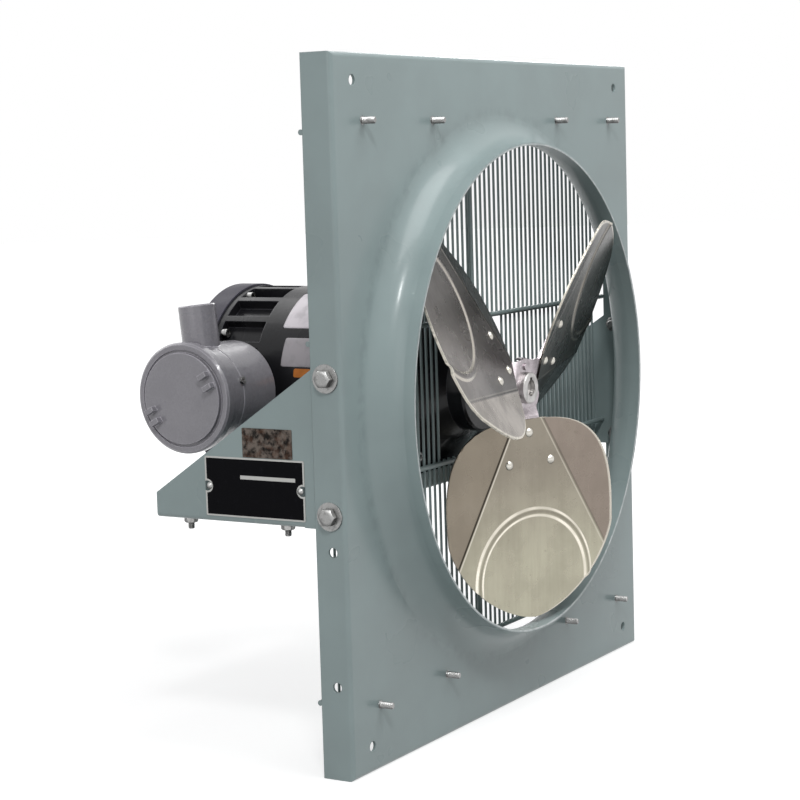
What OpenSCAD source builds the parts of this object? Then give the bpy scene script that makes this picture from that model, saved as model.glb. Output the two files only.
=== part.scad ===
// Explosion-proof exhaust fan: a panel with a drawn orifice ring, a three-bladed propeller on the
// motor's own shaft, and a flameproof motor on a shelf between two gussets.
// Millimetres, +Z up. The origin is where the shaft's axis meets the panel's front face.
// The front faces -Y and the motor stands behind the panel, towards +Y.

/* [Panel] */
// Width of the panel across its side rims
panel_w = 590; // [584:2:620]
// Height of the panel between its top and bottom rims
panel_h = 635; // [629:2:665]
// Depth of the rims behind the panel's front face
rim_depth = 31; // [29:1:36]
// Thickness of the panel's sheet steel
sheet_t = 2.5; // [2:0.25:3]
// Outside radius of the bends between the face and the rims
bend_r = 4; // [3.5:0.5:6]
// Diameter of the wall-bolt hole in each corner
corner_hole_d = 9.5; // [8:0.5:12]
// Distance from a side rim to the centre of a corner hole
corner_inset_x = 33; // [28:1:38]
// Distance from the top or bottom rim to the centre of a corner hole
corner_inset_z = 24; // [20:1:28]
// Diameter of the plain holes low in the side rims
rim_hole_d = 9; // [7:0.5:11]
// Thread diameter of the shutter studs
stud_d = 6.4; // [5:0.2:8]
// Length of a shutter stud in front of the panel
stud_len = 13; // [10:1:20]
// Distance between the outer studs of a row
stud_span_outer = 493; // [480:1:500]
// Distance between the inner studs of a row
stud_span_inner = 251; // [240:1:270]
// Height between the upper and the lower row of studs
stud_row_span = 518; // [514:1:528]

/* [Orifice ring] */
// Gap between the blade tips and the throat
tip_gap = 6.5; // [5:0.5:9]
// How far the ring's lip stands in front of the panel
ring_depth = 38; // [34:1:44]
// Radius of the curve between the panel and the ring's collar
ring_curve_r = 27; // [22:1:29]

/* [Propeller] */
// Diameter swept by the blades
fan_d = 456; // [446:2:460]
// Pitch of the blades against the plane of rotation, in degrees
blade_pitch = 25; // [21:1:27]
// Thickness of a blade
blade_t = 2; // [1.6:0.2:2.4]
// Widest chord of a blade
blade_chord = 198; // [184:2:200]
// Distance from the shaft's axis to the root of a blade
blade_root_r = 31; // [31:0.5:34]
// Bend of a blade's trailing wing behind its middle, in degrees
rear_wing_bend = 8.8; // [5:0.2:11]
// Bend of a blade's leading wing in front of its middle, in degrees
front_wing_bend = 5.4; // [2:0.2:8]
// Turn of the propeller from the pose with one blade straight down, in degrees
rest_turn = 1.6; // [0:0.2:8]
// Distance from the panel's face forward to the middle of the blades at the shaft
prop_forward = 25.4; // [24:0.2:28]
// Thickness of the sheet of the propeller's spider
spider_t = 3; // [2.4:0.2:3.4]

/* [Motor] */
// Height of the shaft's axis above the motor shelf
shaft_height = 88.9; // [88.9:0.2:92]
// Radius of the motor's barrel
motor_r = 98; // [96:0.5:99]
// Radius of the bore of the motor's frame
motor_bore_r = 82; // [80:0.5:82]
// Distance from the panel's face to the motor's nose
nose_y = 22; // [21:0.5:25]
// Length of the motor from its nose to the rear face of its end bell
motor_len = 303; // [299:1:316]
// Diameter of the shaft extension
shaft_d = 15.875; // [15:0.125:16.5]
// Distance from the panel's face to the axis of the conduit box
box_y = 241.5; // [240:0.5:244]
// Radius of the conduit box
box_r = 48.5; // [48:0.5:51]
// Distance from the shaft's axis to the outer face of the conduit box's flange
box_reach = 188; // [184:1:194]

/* [Supports] */
// Thickness of the gussets and of the motor shelf
plate_t = 2.7; // [2.4:0.1:3]
// Distance from the panel's face to the rear edge of the gussets
gusset_depth = 206; // [200:1:212]
// Height of the gussets' sloping edge above the shaft where it leaves the rim
gusset_rise = 46.6; // [45:0.2:54]
// Slope of the gussets' upper edge, in degrees
gusset_slope = 34; // [33:0.5:35]
// Width of the gussets' bottom flange
flange_w = 30; // [28:1:34]

/* [Guard] */
// Diameter of the guard's upright wires
guard_wire_d = 2.6; // [2:0.2:3]
// Spacing of the guard's upright wires
guard_pitch = 9.5; // [9.5:0.25:12]
// Diameter of the guard's rods
guard_rod_d = 5; // [4:0.5:6]
// Height above and below the shaft of the rods that frame the motor's window
guard_window_z = 68; // [66:1:74]
// Height above and below the shaft of the guard's end rods
guard_end_z = 250; // [244:1:262]

/* [Hidden] */
$fn = 96;

// Clearance of a pressed or bolted fit, on the radius
snug = 0.05;
// Clearance of a running fit, on the radius
running = 0.04;
// Extra length of a cutting tool past the face it leaves
past = 1;

// The throat and where the ring's curve leaves the panel
throat_r = fan_d / 2 + tip_gap;
ring_foot_r = throat_r + sheet_t + ring_curve_r;

// Centres of the corner holes
corner_x = panel_w / 2 - corner_inset_x;
corner_z = panel_h / 2 - corner_inset_z;
// A clinch stud's neck through the sheet, its head behind the sheet and the bevel on its end
stud_neck_r = stud_d / 2 + 0.6;
stud_head_r = stud_d / 2 + 1.8;
stud_head_t = 1.5;
stud_bevel = 0.8;

// Inner faces of the rims and of the gussets
rim_inner_x = panel_w / 2 - sheet_t;
gusset_inner_x = rim_inner_x - plate_t;
// Front edge of the gussets, clear of the bend inside the rim
gusset_front_y = sheet_t + bend_r;
// Height of the gussets' upper edge at a distance from the panel's face
function gusset_top_z(y) = gusset_rise - (y - rim_depth) * tan(gusset_slope);
// Levels of the shelf and of the gussets' flanges
shelf_top_z = -shaft_height;
flange_top_z = shelf_top_z - plate_t;
flange_bottom_z = flange_top_z - plate_t;
// Bolts through the rims and the gussets, 3/8 inch
rim_bolt_y = rim_depth / 2;
rim_bolt_z = [38.5, -82];
rim_bolt_r = 4.76;
rim_washer_r = 12.7;
rim_washer_t = 1.6;
rim_head_af = 14.3;
rim_head_h = 6;
rim_nut_h = 8.2;
rim_bolt_tail = 13;
// Plain holes below them, two to a rim
rim_hole_y = rim_depth * 0.45;
rim_hole_z = [-114, -234];
// The shelf stops short of the guard and just short of the gussets' rear edges
shelf_front_y = rim_depth + 13;
shelf_rear_y = gusset_depth - 1;
shelf_edge_h = 16;
shelf_gap = 0.3;
shelf_notch_w = 2 * motor_r - 40;
// Bolts through the shelf and the flanges, 1/4 inch
shelf_bolt_x = rim_inner_x - flange_w / 2;
shelf_bolt_y = [72, 179];
shelf_bolt_r = 3.175;
shelf_head_af = 11.1;
shelf_head_h = 4.2;
shelf_nut_h = 5.6;
shelf_bolt_tail = 11.5;
// Bolts through the motor's feet, 5/16 inch
foot_bolt_r = 3.97;
foot_head_af = 12.7;
foot_head_h = 5.3;
foot_nut_h = 6.7;

// Stations along the motor, from its nose to its rear face
barrel_y = nose_y + 54;
bell_y = nose_y + motor_len - 37;
motor_end_y = nose_y + motor_len;
fins_y = bell_y - 58;
bell_flange_t = 7;
fin_count = 20;
fin_t = 7;
fin_root_r = motor_r - 10;
// The foot: bolt holes on the pattern of a 56 frame
foot_x = 61.9;
foot_y = [nose_y + 69.85, nose_y + 146.05];
foot_w = 165;
foot_t = 9;
foot_overhang = 12;
foot_pocket_r = 10.5;
foot_pocket_h = 10.4;
// The nose and the end bells
nose_r = 44;
bell_spigot = 8;
bell_spigot_wall = 8;
front_flange_t = 10;
bell_screw_r = 2.9;
bell_screw_head_r = 4.4;
bell_screw_head_h = 6;
front_screw_ring = motor_r - 8.5;
rear_screw_ring = motor_r - 4.8;
rear_bell_r = motor_r + 2;
rear_bell_face_r = motor_r - 18;
// Bearings: a 6204 at the front and a 6203 at the rear
front_bearing_y = nose_y + 8;
front_bearing_w = 14;
front_bearing_r = 23.5;
front_journal_r = 10;
rear_bearing_y = bell_y + 2;
rear_bearing_w = 12;
rear_bearing_r = 20;
rear_journal_r = 8.5;
// The electrical parts
core_y = barrel_y + 34;
core_len = 90;
air_gap = 0.6;
rotor_r = 49.4;
core_shaft_r = 12.5;
winding_len = 16;

// The conduit box
box_z = 3.2;
box_root = 114;
box_wall = 5;
box_back_t = 4.5;
box_boss_r = 20;
wiring_hole_r = 12;
seal_inset = 2;
box_seam = box_reach - 22;
cover_r = 53.6;
cover_flange_t = 12;
cover_disc_r = cover_r - 9.6;
cover_disc_t = 2.5;
cover_groove_w = 3;
cover_groove_depth = 2;
cover_spigot = 11;
cover_gap = 0.3;
cover_hollow_r = box_r - box_wall - 4;
cover_tilt = 29;
lug_ring = cover_r - 14;
lug_gap = 7;
lug_size = [7, 5, 10];
conduit_hub_x = -(box_reach - 28);
conduit_hub_r = 18.2;
conduit_hub_h = 87.4;
conduit_lean = 6;
conduit_thread_r = 12.2;
ground_angle = 18;

// The propeller
blade_count = 3;
blade_step = 360 / blade_count;
prop_y = -prop_forward;
blade_widest_r = fan_d / 2 - 85.7;
tip_power = 1.62;
root_power = 3.04;
outline_steps = 96;
crease_start = 22.4;
crease_start_r = 40;
crease_spread = 0.54;
crease_rib = 0.25;
bead_r = 67;
bead_centre_r = blade_widest_r + 47.7;
bead_half_w = 4.5;
bead_h = 1.8;
rivet_x = 25.5;
rivet_r_outer = 73.5;
rivet_r_inner = 44;
rivet_shank_r = 2.4;
rivet_head_r = 4.7;
rivet_head_h = 2.6;
rivet_tail_r = 3.8;
rivet_tail_h = 2;
// The spider, whose arms twist from its flat middle to the blades' pitch
spider_y = prop_y + (blade_t + spider_t) / 2 / cos(blade_pitch);
spider_middle_r = 28.7;
arm_flat_v = 19;
arm_pitched_v = 30.5;
arm_crease_gap = 2;
arm_half_w = 33;
arm_end_r = 88;
arm_corner_r = 12;
twist_steps = 12;
twist_lap = 1.5;
twist_inset = 0.15;
web_lip_t = 1.6;
web_lip_h = 5;
web_lip_half_angle = 9;
// The hub, with its set screws behind the spider
shaft_r = shaft_d / 2;
shaft_front_y = nose_y - 47.6;
hub_front_y = spider_y - spider_t / 2 - 6;
hub_nose_r = 15.2;
hub_flange_r = hub_nose_r + 9.5;
hub_flange_t = 5;
flange_y = spider_y + (spider_t + hub_flange_t) / 2;
hub_boss_r = 17;
hub_rear_y = hub_front_y + 34;
hub_rivet_ring = hub_nose_r + 5.5;
set_screw_r = 3.9;
set_screw_y = hub_rear_y - 8;
key_w = 4.76;
key_y = shaft_front_y + 4;
key_len = 28;

// The guard
guard_rod_y = rim_depth + guard_rod_d / 2;
guard_wire_y = rim_depth + guard_rod_d + guard_wire_d / 2;
guard_side_count = floor((gusset_inner_x - 10) / guard_pitch);
guard_window_count = floor(64 / guard_pitch);
guard_wire_over = 3;

// Plates on the left gusset
plate_name_y = [42.5, 149.5];
plate_name_z = [-89, -35];
plate_name_t = 0.8;
plate_rivet_inset = 4.5;
tag_y = [54.5, 107.7];
tag_z = [-34.4, -8];
tag_t = 0.5;

paint_green = [0.55, 0.61, 0.61];
paint_black = [0.08, 0.08, 0.09];
paint_bell = [0.20, 0.20, 0.23];
paint_box = [0.60, 0.58, 0.61];
bare_metal = [0.72, 0.70, 0.68];
zinc = [0.78, 0.78, 0.76];
copper = [0.72, 0.42, 0.24];
potting = [0.10, 0.09, 0.08];

// A cylinder along the shaft's direction
module rod_y(r, y0, y1) {
    translate([0, y0, 0]) rotate([-90, 0, 0]) cylinder(r = r, h = y1 - y0);
}

// A cylinder from side to side
module rod_x(r, x0, x1) {
    translate([x0, 0, 0]) rotate([0, 90, 0]) cylinder(r = r, h = x1 - x0);
}

// A solid of revolution round the shaft: the outline's x is the radius and its y lies along the shaft
module spin() {
    rotate([-90, 0, 0]) rotate_extrude() children();
}

// A solid of revolution round the conduit box's axis: the outline's y is the distance out from the motor
module box_spin() {
    translate([0, box_y, box_z]) rotate([0, -90, 0]) rotate_extrude() children();
}

// Puts its children at an angle round the shaft, counted from the left side upward
module round_shaft(angle, ring) {
    rotate([0, angle, 0]) translate([-ring, 0, 0]) children();
}

// A hexagon across its flats, along Z
module hex(af, h) {
    cylinder(r = af / 2 / cos(30), h = h, $fn = 6);
}

// An outline that is wide along x, with its two corners at y = 0 rounded
module fold_outline(w, d, r) {
    translate([-w / 2, r]) square([w, d - r]);
    translate([-w / 2 + r, 0]) square([w - 2 * r, d]);
    for (side = [-1, 1]) translate([side * (w / 2 - r), r]) circle(r);
}

// A block whose front edges are rounded on all four sides
module folded_block(w, h, d, r) {
    intersection() {
        linear_extrude(h, center = true) fold_outline(w, d, r);
        rotate([0, 90, 0]) linear_extrude(w, center = true) fold_outline(h, d, r);
    }
}

// Half of the orifice ring's section: a quarter-round curve that runs into a straight collar
module ring_section() {
    translate([ring_foot_r, -ring_curve_r]) intersection() {
        difference() {
            circle(ring_curve_r + sheet_t);
            circle(ring_curve_r);
        }
        translate([-ring_curve_r - sheet_t, 0]) square(ring_curve_r + sheet_t);
    }
    translate([throat_r, -ring_depth]) square([sheet_t, ring_depth - ring_curve_r]);
}

module at_corners(x, z) {
    for (sx = [-1, 1], sz = [-1, 1]) translate([sx * x, 0, sz * z]) children();
}

module at_studs() {
    for (span = [stud_span_outer, stud_span_inner]) at_corners(span / 2, stud_row_span / 2) children();
}

// The panel, its four rims and the ring, drawn from one sheet
module venturi_panel() color(paint_green) {
    difference() {
        folded_block(panel_w, panel_h, rim_depth, bend_r);
        translate([0, sheet_t, 0])
            folded_block(panel_w - 2 * sheet_t, panel_h - 2 * sheet_t, rim_depth, bend_r - sheet_t);
        rod_y(ring_foot_r, -past, sheet_t + past);
        at_corners(corner_x, corner_z) rod_y(corner_hole_d / 2, -past, sheet_t + past);
        at_studs() rod_y(stud_neck_r + snug, -past, sheet_t + past);
        for (z = rim_bolt_z) translate([0, rim_bolt_y, z]) rod_x(rim_bolt_r + snug, -panel_w, panel_w);
        for (z = rim_hole_z) translate([0, rim_hole_y, z]) rod_x(rim_hole_d / 2, -panel_w, panel_w);
    }
    spin() ring_section();
}

// Threaded studs clinched through the panel for the shutter's flange
module shutter_studs() color(zinc) at_studs() {
    translate([0, -stud_len, 0]) rotate([-90, 0, 0])
        cylinder(r1 = stud_d / 2 - stud_bevel, r2 = stud_d / 2, h = stud_bevel);
    rod_y(stud_d / 2, stud_bevel - stud_len, 0);
    rod_y(stud_neck_r, 0, sheet_t);
    rod_y(stud_head_r, sheet_t, sheet_t + stud_head_t);
}

// One gusset, drawn for the right side: a bent plate with a flange that turns in under the shelf
module gusset() {
    difference() {
        union() {
            translate([gusset_inner_x, 0, 0]) rotate([90, 0, 90]) linear_extrude(plate_t) polygon([
                [gusset_front_y, gusset_top_z(gusset_front_y)],
                [gusset_depth, gusset_top_z(gusset_depth)],
                [gusset_depth, flange_bottom_z + bend_r],
                [shelf_front_y, flange_bottom_z + bend_r],
                [shelf_front_y, flange_bottom_z],
                [gusset_front_y, flange_bottom_z]
            ]);
            translate([0, gusset_depth, 0]) rotate([90, 0, 0])
                linear_extrude(gusset_depth - shelf_front_y) gusset_flange();
        }
        for (z = rim_bolt_z) translate([0, rim_bolt_y, z]) rod_x(rim_bolt_r + snug, 0, panel_w);
        for (y = shelf_bolt_y) translate([shelf_bolt_x, y, flange_bottom_z - past])
            cylinder(r = shelf_bolt_r + snug, h = plate_t + 2 * past);
    }
}

// Section of the flange and its bend, from below the shelf round to the gusset's plate
module gusset_flange() {
    translate([rim_inner_x - flange_w, flange_bottom_z]) square([flange_w - bend_r, plate_t]);
    translate([rim_inner_x - bend_r, flange_bottom_z + bend_r]) intersection() {
        difference() {
            circle(bend_r);
            circle(bend_r - plate_t);
        }
        translate([0, -bend_r]) square(bend_r);
    }
}

module gusset_right() color(paint_green) gusset();

module gusset_left() color(paint_green) mirror([1, 0, 0]) gusset();

// The plate that the motor stands on, with its front and rear edges turned up
module motor_shelf() color(paint_green) {
    depth = shelf_rear_y - shelf_front_y;
    half_w = gusset_inner_x - (bend_r - plate_t) - shelf_gap;
    difference() {
        translate([-half_w, (shelf_front_y + shelf_rear_y) / 2, flange_top_z])
            rotate([90, 0, 90]) linear_extrude(2 * half_w) difference() {
                fold_outline(depth, shelf_edge_h, bend_r);
                translate([0, plate_t]) fold_outline(depth - 2 * plate_t, shelf_edge_h, bend_r - plate_t);
            }
        translate([-shelf_notch_w / 2, shelf_rear_y - bend_r, shelf_top_z])
            cube([shelf_notch_w, bend_r + past, shelf_edge_h]);
        at_shelf_bolts() translate([0, 0, flange_top_z - past])
            cylinder(r = shelf_bolt_r + snug, h = plate_t + 2 * past);
        at_foot_bolts() translate([0, 0, flange_top_z - past])
            cylinder(r = foot_bolt_r + snug, h = plate_t + 2 * past);
        for (sx = [-1, 1], y = [shelf_front_y, shelf_rear_y])
            translate([sx * gusset_inner_x, y, shelf_top_z + shelf_edge_h / 2])
                cube([bend_r, 4 * bend_r, shelf_edge_h], center = true);
    }
}

module at_shelf_bolts() {
    for (sx = [-1, 1], y = shelf_bolt_y) translate([sx * shelf_bolt_x, y, 0]) children();
}

module at_foot_bolts() {
    for (sx = [-1, 1], y = foot_y) translate([sx * foot_x, y, 0]) children();
}

// Places what is drawn along Z so that it goes in through a side rim, with z = 0 at the rim's outer face
module at_rim_bolts() {
    for (sx = [-1, 1], z = rim_bolt_z)
        translate([sx * panel_w / 2, rim_bolt_y, z]) rotate([0, sx * 90, 0]) rotate([0, 0, 30]) children();
}

module rim_bolts() color(zinc) at_rim_bolts() {
    translate([0, 0, rim_washer_t]) hex(rim_head_af, rim_head_h - 1);
    translate([0, 0, rim_washer_t + rim_head_h - 1])
        cylinder(r1 = rim_head_af / 2, r2 = rim_head_af / 2 - 1, h = 1);
    translate([0, 0, -sheet_t - plate_t - rim_bolt_tail])
        cylinder(r = rim_bolt_r, h = sheet_t + plate_t + rim_bolt_tail + rim_washer_t);
}

module rim_washers() color(zinc) at_rim_bolts() difference() {
    cylinder(r = rim_washer_r, h = rim_washer_t);
    translate([0, 0, -past]) cylinder(r = rim_bolt_r + snug, h = rim_washer_t + 2 * past);
}

module rim_nuts() color(zinc) at_rim_bolts() translate([0, 0, -sheet_t - plate_t - rim_nut_h]) difference() {
    hex(rim_head_af, rim_nut_h);
    translate([0, 0, -past]) cylinder(r = rim_bolt_r + snug, h = rim_nut_h + 2 * past);
}

// A hex bolt whose head stands on z = 0 and whose shank reaches down
module hex_bolt(r, af, head_h, reach) {
    hex(af, head_h);
    translate([0, 0, -reach]) cylinder(r = r, h = reach);
}

// A hex nut whose upper face is at z = 0
module hex_nut(r, af, h) {
    translate([0, 0, -h]) difference() {
        hex(af, h);
        translate([0, 0, -past]) cylinder(r = r + snug, h = h + 2 * past);
    }
}

module shelf_bolts() color(zinc) at_shelf_bolts() translate([0, 0, shelf_top_z])
    hex_bolt(shelf_bolt_r, shelf_head_af, shelf_head_h, 2 * plate_t + shelf_bolt_tail);

module shelf_nuts() color(zinc) at_shelf_bolts() translate([0, 0, flange_bottom_z])
    hex_nut(shelf_bolt_r, shelf_head_af, shelf_nut_h);

module foot_bolts() color(zinc) at_foot_bolts() translate([0, 0, shelf_top_z + foot_t])
    hex_bolt(foot_bolt_r, foot_head_af, foot_head_h, foot_t + plate_t + foot_nut_h + 2);

module foot_nuts() color(zinc) at_foot_bolts() translate([0, 0, flange_top_z])
    hex_nut(foot_bolt_r, foot_head_af, foot_nut_h);

// Cast frame: smooth barrel, finned rear, flat underside with feet, and the boss for the conduit box
module motor_frame() color(paint_black) difference() {
    union() {
        difference() {
            rod_y(motor_r, barrel_y, fins_y);
            translate([-motor_r, barrel_y - past, -2 * motor_r])
                cube([2 * motor_r, fins_y - barrel_y + past, 2 * motor_r - shaft_height]);
            at_foot_bolts() translate([0, 0, shelf_top_z + foot_t])
                cylinder(r = foot_pocket_r, h = foot_pocket_h);
        }
        translate([0, fins_y, 0]) rotate([-90, 0, 0])
            linear_extrude(bell_y - bell_flange_t - fins_y) fin_section();
        rod_y(motor_r, bell_y - bell_flange_t, bell_y);
        translate([0, box_y, box_z]) rod_x(box_boss_r, -box_root, -fin_root_r + 6);
        foot();
    }
    rod_y(motor_bore_r, barrel_y - past, bell_y + past);
    translate([0, box_y, box_z]) rod_x(wiring_hole_r, -box_root - past, 0);
    at_foot_bolts() translate([0, 0, shelf_top_z - past]) cylinder(r = foot_bolt_r + snug, h = foot_t + 2 * past);
    for (a = [45:90:315]) round_shaft(a, front_screw_ring)
        rod_y(bell_screw_r + snug, barrel_y - past, barrel_y + 22);
    at_rear_screws() rod_y(bell_screw_r + snug, bell_y - bell_flange_t - past, bell_y + past);
}

// Section through the finned part of the frame, with the fins inside the barrel's outline
module fin_section() {
    intersection() {
        circle(motor_r);
        union() {
            circle(fin_root_r);
            for (i = [0:fin_count - 1]) rotate((i + 0.5) * 360 / fin_count)
                translate([fin_root_r - 4, -fin_t / 2]) square([20, fin_t]);
        }
    }
}

// The feet, with a web between the bolts on either side
module foot() {
    middle = (foot_y[0] + foot_y[1]) / 2;
    length = foot_y[1] - foot_y[0] + 2 * foot_overhang;
    translate([-foot_w / 2, middle - length / 2, shelf_top_z]) cube([foot_w, length, foot_t]);
    for (side = [0, 1]) mirror([side, 0, 0]) translate([0, middle + 6, 0]) rotate([90, 0, 0])
        linear_extrude(12) polygon([
            [40, shelf_top_z + foot_t / 2], [foot_w / 2 - 3, shelf_top_z + foot_t / 2],
            [motor_r - 12, -46], [40, -46]
        ]);
}

module at_rear_screws() {
    for (a = [36, 72, 108, 144, 216, 252, 288, 324]) round_shaft(a, rear_screw_ring) children();
}

// Drive-end bell: a nose that passes through the guard, a cone and a bolted flange
module front_end_bell() color(paint_black) difference() {
    spin() difference() {
        union() {
            polygon([
                [0, nose_y], [nose_r - 2, nose_y], [nose_r, nose_y + 2], [nose_r, nose_y + 18],
                [motor_r - 18, barrel_y - front_flange_t - 2], [motor_r - 18, barrel_y - front_flange_t],
                [motor_r, barrel_y - front_flange_t], [motor_r, barrel_y], [0, barrel_y]
            ]);
            square_between(0, motor_bore_r - snug, barrel_y, barrel_y + bell_spigot);
        }
        polygon([
            [front_bearing_r + 5, front_bearing_y + front_bearing_w + 3],
            [nose_r + 1, front_bearing_y + front_bearing_w + 6],
            [motor_bore_r - bell_spigot_wall, barrel_y - front_flange_t],
            [motor_bore_r - bell_spigot_wall, barrel_y + bell_spigot + past],
            [front_bearing_r + 5, barrel_y + bell_spigot + past]
        ]);
        square_between(-past, front_bearing_r + snug, front_bearing_y, barrel_y + bell_spigot + past);
        square_between(
            front_bearing_r, front_bearing_r + 6,
            front_bearing_y + front_bearing_w + 3, barrel_y + bell_spigot + past
        );
        square_between(-past, shaft_r + 0.3, nose_y - past, front_bearing_y + past);
    }
    translate([-motor_r, nose_y, -2 * motor_r])
        cube([2 * motor_r, barrel_y - nose_y, 2 * motor_r - shaft_height + 0.4]);
    for (a = [45:90:315]) round_shaft(a, front_screw_ring)
        rod_y(bell_screw_r + snug, nose_y, barrel_y + past);
}

// A rectangle of an outline, between two radii and two stations
module square_between(r0, r1, y0, y1) {
    translate([r0, y0]) square([r1 - r0, y1 - y0]);
}

// Rear end bell: a plain drum that tapers to its rear face
module rear_end_bell() color(paint_bell) difference() {
    spin() difference() {
        union() {
            polygon([
                [0, bell_y], [rear_bell_r, bell_y], [rear_bell_r, motor_end_y - 13],
                [rear_bell_face_r, motor_end_y], [0, motor_end_y]
            ]);
            square_between(0, motor_bore_r - snug, bell_y - bell_spigot, bell_y);
        }
        square_between(
            rear_bearing_r + 6, motor_bore_r - bell_spigot_wall, bell_y - bell_spigot - past, bell_y + 22
        );
        square_between(-past, rear_bearing_r + 7, bell_y - bell_spigot - past, bell_y);
        square_between(-past, rear_bearing_r + snug, bell_y - past, rear_bearing_y + rear_bearing_w);
        square_between(-past, rear_journal_r + 3, bell_y - past, rear_bearing_y + rear_bearing_w + 4);
    }
    at_rear_screws() rod_y(bell_screw_r + snug, bell_y - past, bell_y + 15);
}

// A socket-head screw along the shaft's direction, its head ending at y = 0 and its shank going to +Y
module cap_screw(length) {
    difference() {
        rod_y(bell_screw_head_r, -bell_screw_head_h, 0);
        translate([0, -bell_screw_head_h - past, 0]) rotate([-90, 0, 0]) hex(4.4, 3 + past);
    }
    rod_y(bell_screw_r, 0, length);
}

module front_bell_screws() color(zinc) for (a = [45:90:315])
    round_shaft(a, front_screw_ring) translate([0, barrel_y - front_flange_t, 0]) cap_screw(front_flange_t + 20);

module rear_bell_screws() color(zinc) at_rear_screws()
    translate([0, bell_y - bell_flange_t, 0]) cap_screw(bell_flange_t + 14);

// Laminated stator ring
module stator_core() color([0.45, 0.45, 0.47]) difference() {
    rod_y(motor_bore_r - snug, core_y, core_y + core_len);
    rod_y(rotor_r + air_gap, core_y - past, core_y + core_len + past);
}

// The coils' end turns, rounded rings on either side of the stator
module stator_windings() color(copper) for (y = [core_y - winding_len, core_y + core_len])
    spin() translate([rotor_r + 4, y]) {
        translate([4, 0]) square([16, winding_len]);
        translate([0, 4]) square([24, winding_len - 8]);
        for (x = [4, 20], v = [4, winding_len - 4]) translate([x, v]) circle(4);
    }

// Rotor laminations with their cast end rings
module rotor_core() color([0.55, 0.55, 0.56]) difference() {
    union() {
        rod_y(rotor_r, core_y, core_y + core_len);
        rod_y(rotor_r - 3, core_y - 8, core_y + core_len + 8);
    }
    rod_y(core_shaft_r + snug, core_y - 9, core_y + core_len + 9);
    for (end = [core_y - 8 - past, core_y + core_len + 2])
        difference() {
            rod_y(rotor_r - 16, end, end + 6 + past);
            rod_y(core_shaft_r + 4, end - past, end + 8 + past);
        }
}

// The stepped shaft, with a keyway in its extension
module motor_shaft() color(bare_metal) difference() {
    union() {
        rod_y(shaft_r, shaft_front_y + 1, front_bearing_y);
        translate([0, shaft_front_y, 0]) rotate([-90, 0, 0]) cylinder(r1 = shaft_r - 1, r2 = shaft_r, h = 1);
        rod_y(front_journal_r, front_bearing_y, front_bearing_y + front_bearing_w + 1);
        rod_y(core_shaft_r, front_bearing_y + front_bearing_w + 1, rear_bearing_y - 1);
        rod_y(rear_journal_r, rear_bearing_y - 1, rear_bearing_y + rear_bearing_w + 1);
    }
    translate([-key_w / 2 - snug, key_y - snug, shaft_r - key_w / 2 - snug])
        cube([key_w + 2 * snug, key_len + 2 * snug, key_w]);
}

module shaft_key() color(bare_metal)
    translate([-key_w / 2, key_y, shaft_r - key_w / 2]) cube([key_w, key_len, key_w]);

// A shielded ball bearing: its fixed rings, with a shallow step for the shields
module bearing(r0, r1, w) {
    difference() {
        rod_y(r1, 0, w);
        rod_y(r0 + running, -past, w + past);
        for (y = [-past, w - 1]) difference() {
            rod_y(r1 - 3, y, y + 1 + past);
            rod_y(r0 + 3, y - past, y + 3 + past);
        }
    }
}

module front_bearing() color([0.8, 0.8, 0.82])
    translate([0, front_bearing_y + snug, 0]) bearing(front_journal_r, front_bearing_r, front_bearing_w);

module rear_bearing() color([0.8, 0.8, 0.82])
    translate([0, rear_bearing_y - snug, 0]) bearing(rear_journal_r, rear_bearing_r, rear_bearing_w);

// Potting in the lead hole, which keeps a flame inside the motor from the conduit box
module lead_seal() color(potting) translate([0, box_y, box_z])
    rod_x(wiring_hole_r - snug, -box_root - box_back_t, -motor_bore_r - seal_inset);

// Round cast box for the motor's leads, with a threaded conduit hub on top
module conduit_box() color(paint_box) difference() {
    union() {
        box_spin() difference() {
            square_between(0, box_r, box_root, box_reach);
            square_between(box_r - 0.8, box_r + past, box_seam, box_seam + 1.4);
        }
        up_conduit_hub() cylinder(r = conduit_hub_r, h = conduit_hub_h - 1);
        up_conduit_hub() translate([0, 0, conduit_hub_h - 1])
            cylinder(r1 = conduit_hub_r, r2 = conduit_hub_r - 1, h = 1);
    }
    box_spin() square_between(0, box_r - box_wall, box_root + box_back_t, box_reach + past);
    translate([0, box_y, box_z]) rod_x(wiring_hole_r, -box_root - box_back_t - past, -box_root + past);
    up_conduit_hub() cylinder(r = conduit_thread_r, h = conduit_hub_h + past);
    at_ground_screw() cylinder(r = 2 + snug, h = 20, center = true);
}

// From the box's axis up through its conduit hub, which leans back a little
module up_conduit_hub() {
    translate([conduit_hub_x, box_y, box_z]) rotate([-conduit_lean, 0, 0]) children();
}

// On the box's front side, with +Z pointing out of its wall
module at_ground_screw() {
    translate([-box_seam - 0.7, box_y, box_z]) rotate([90 - ground_angle, 0, 0])
        translate([0, 0, box_r]) children();
}

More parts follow.
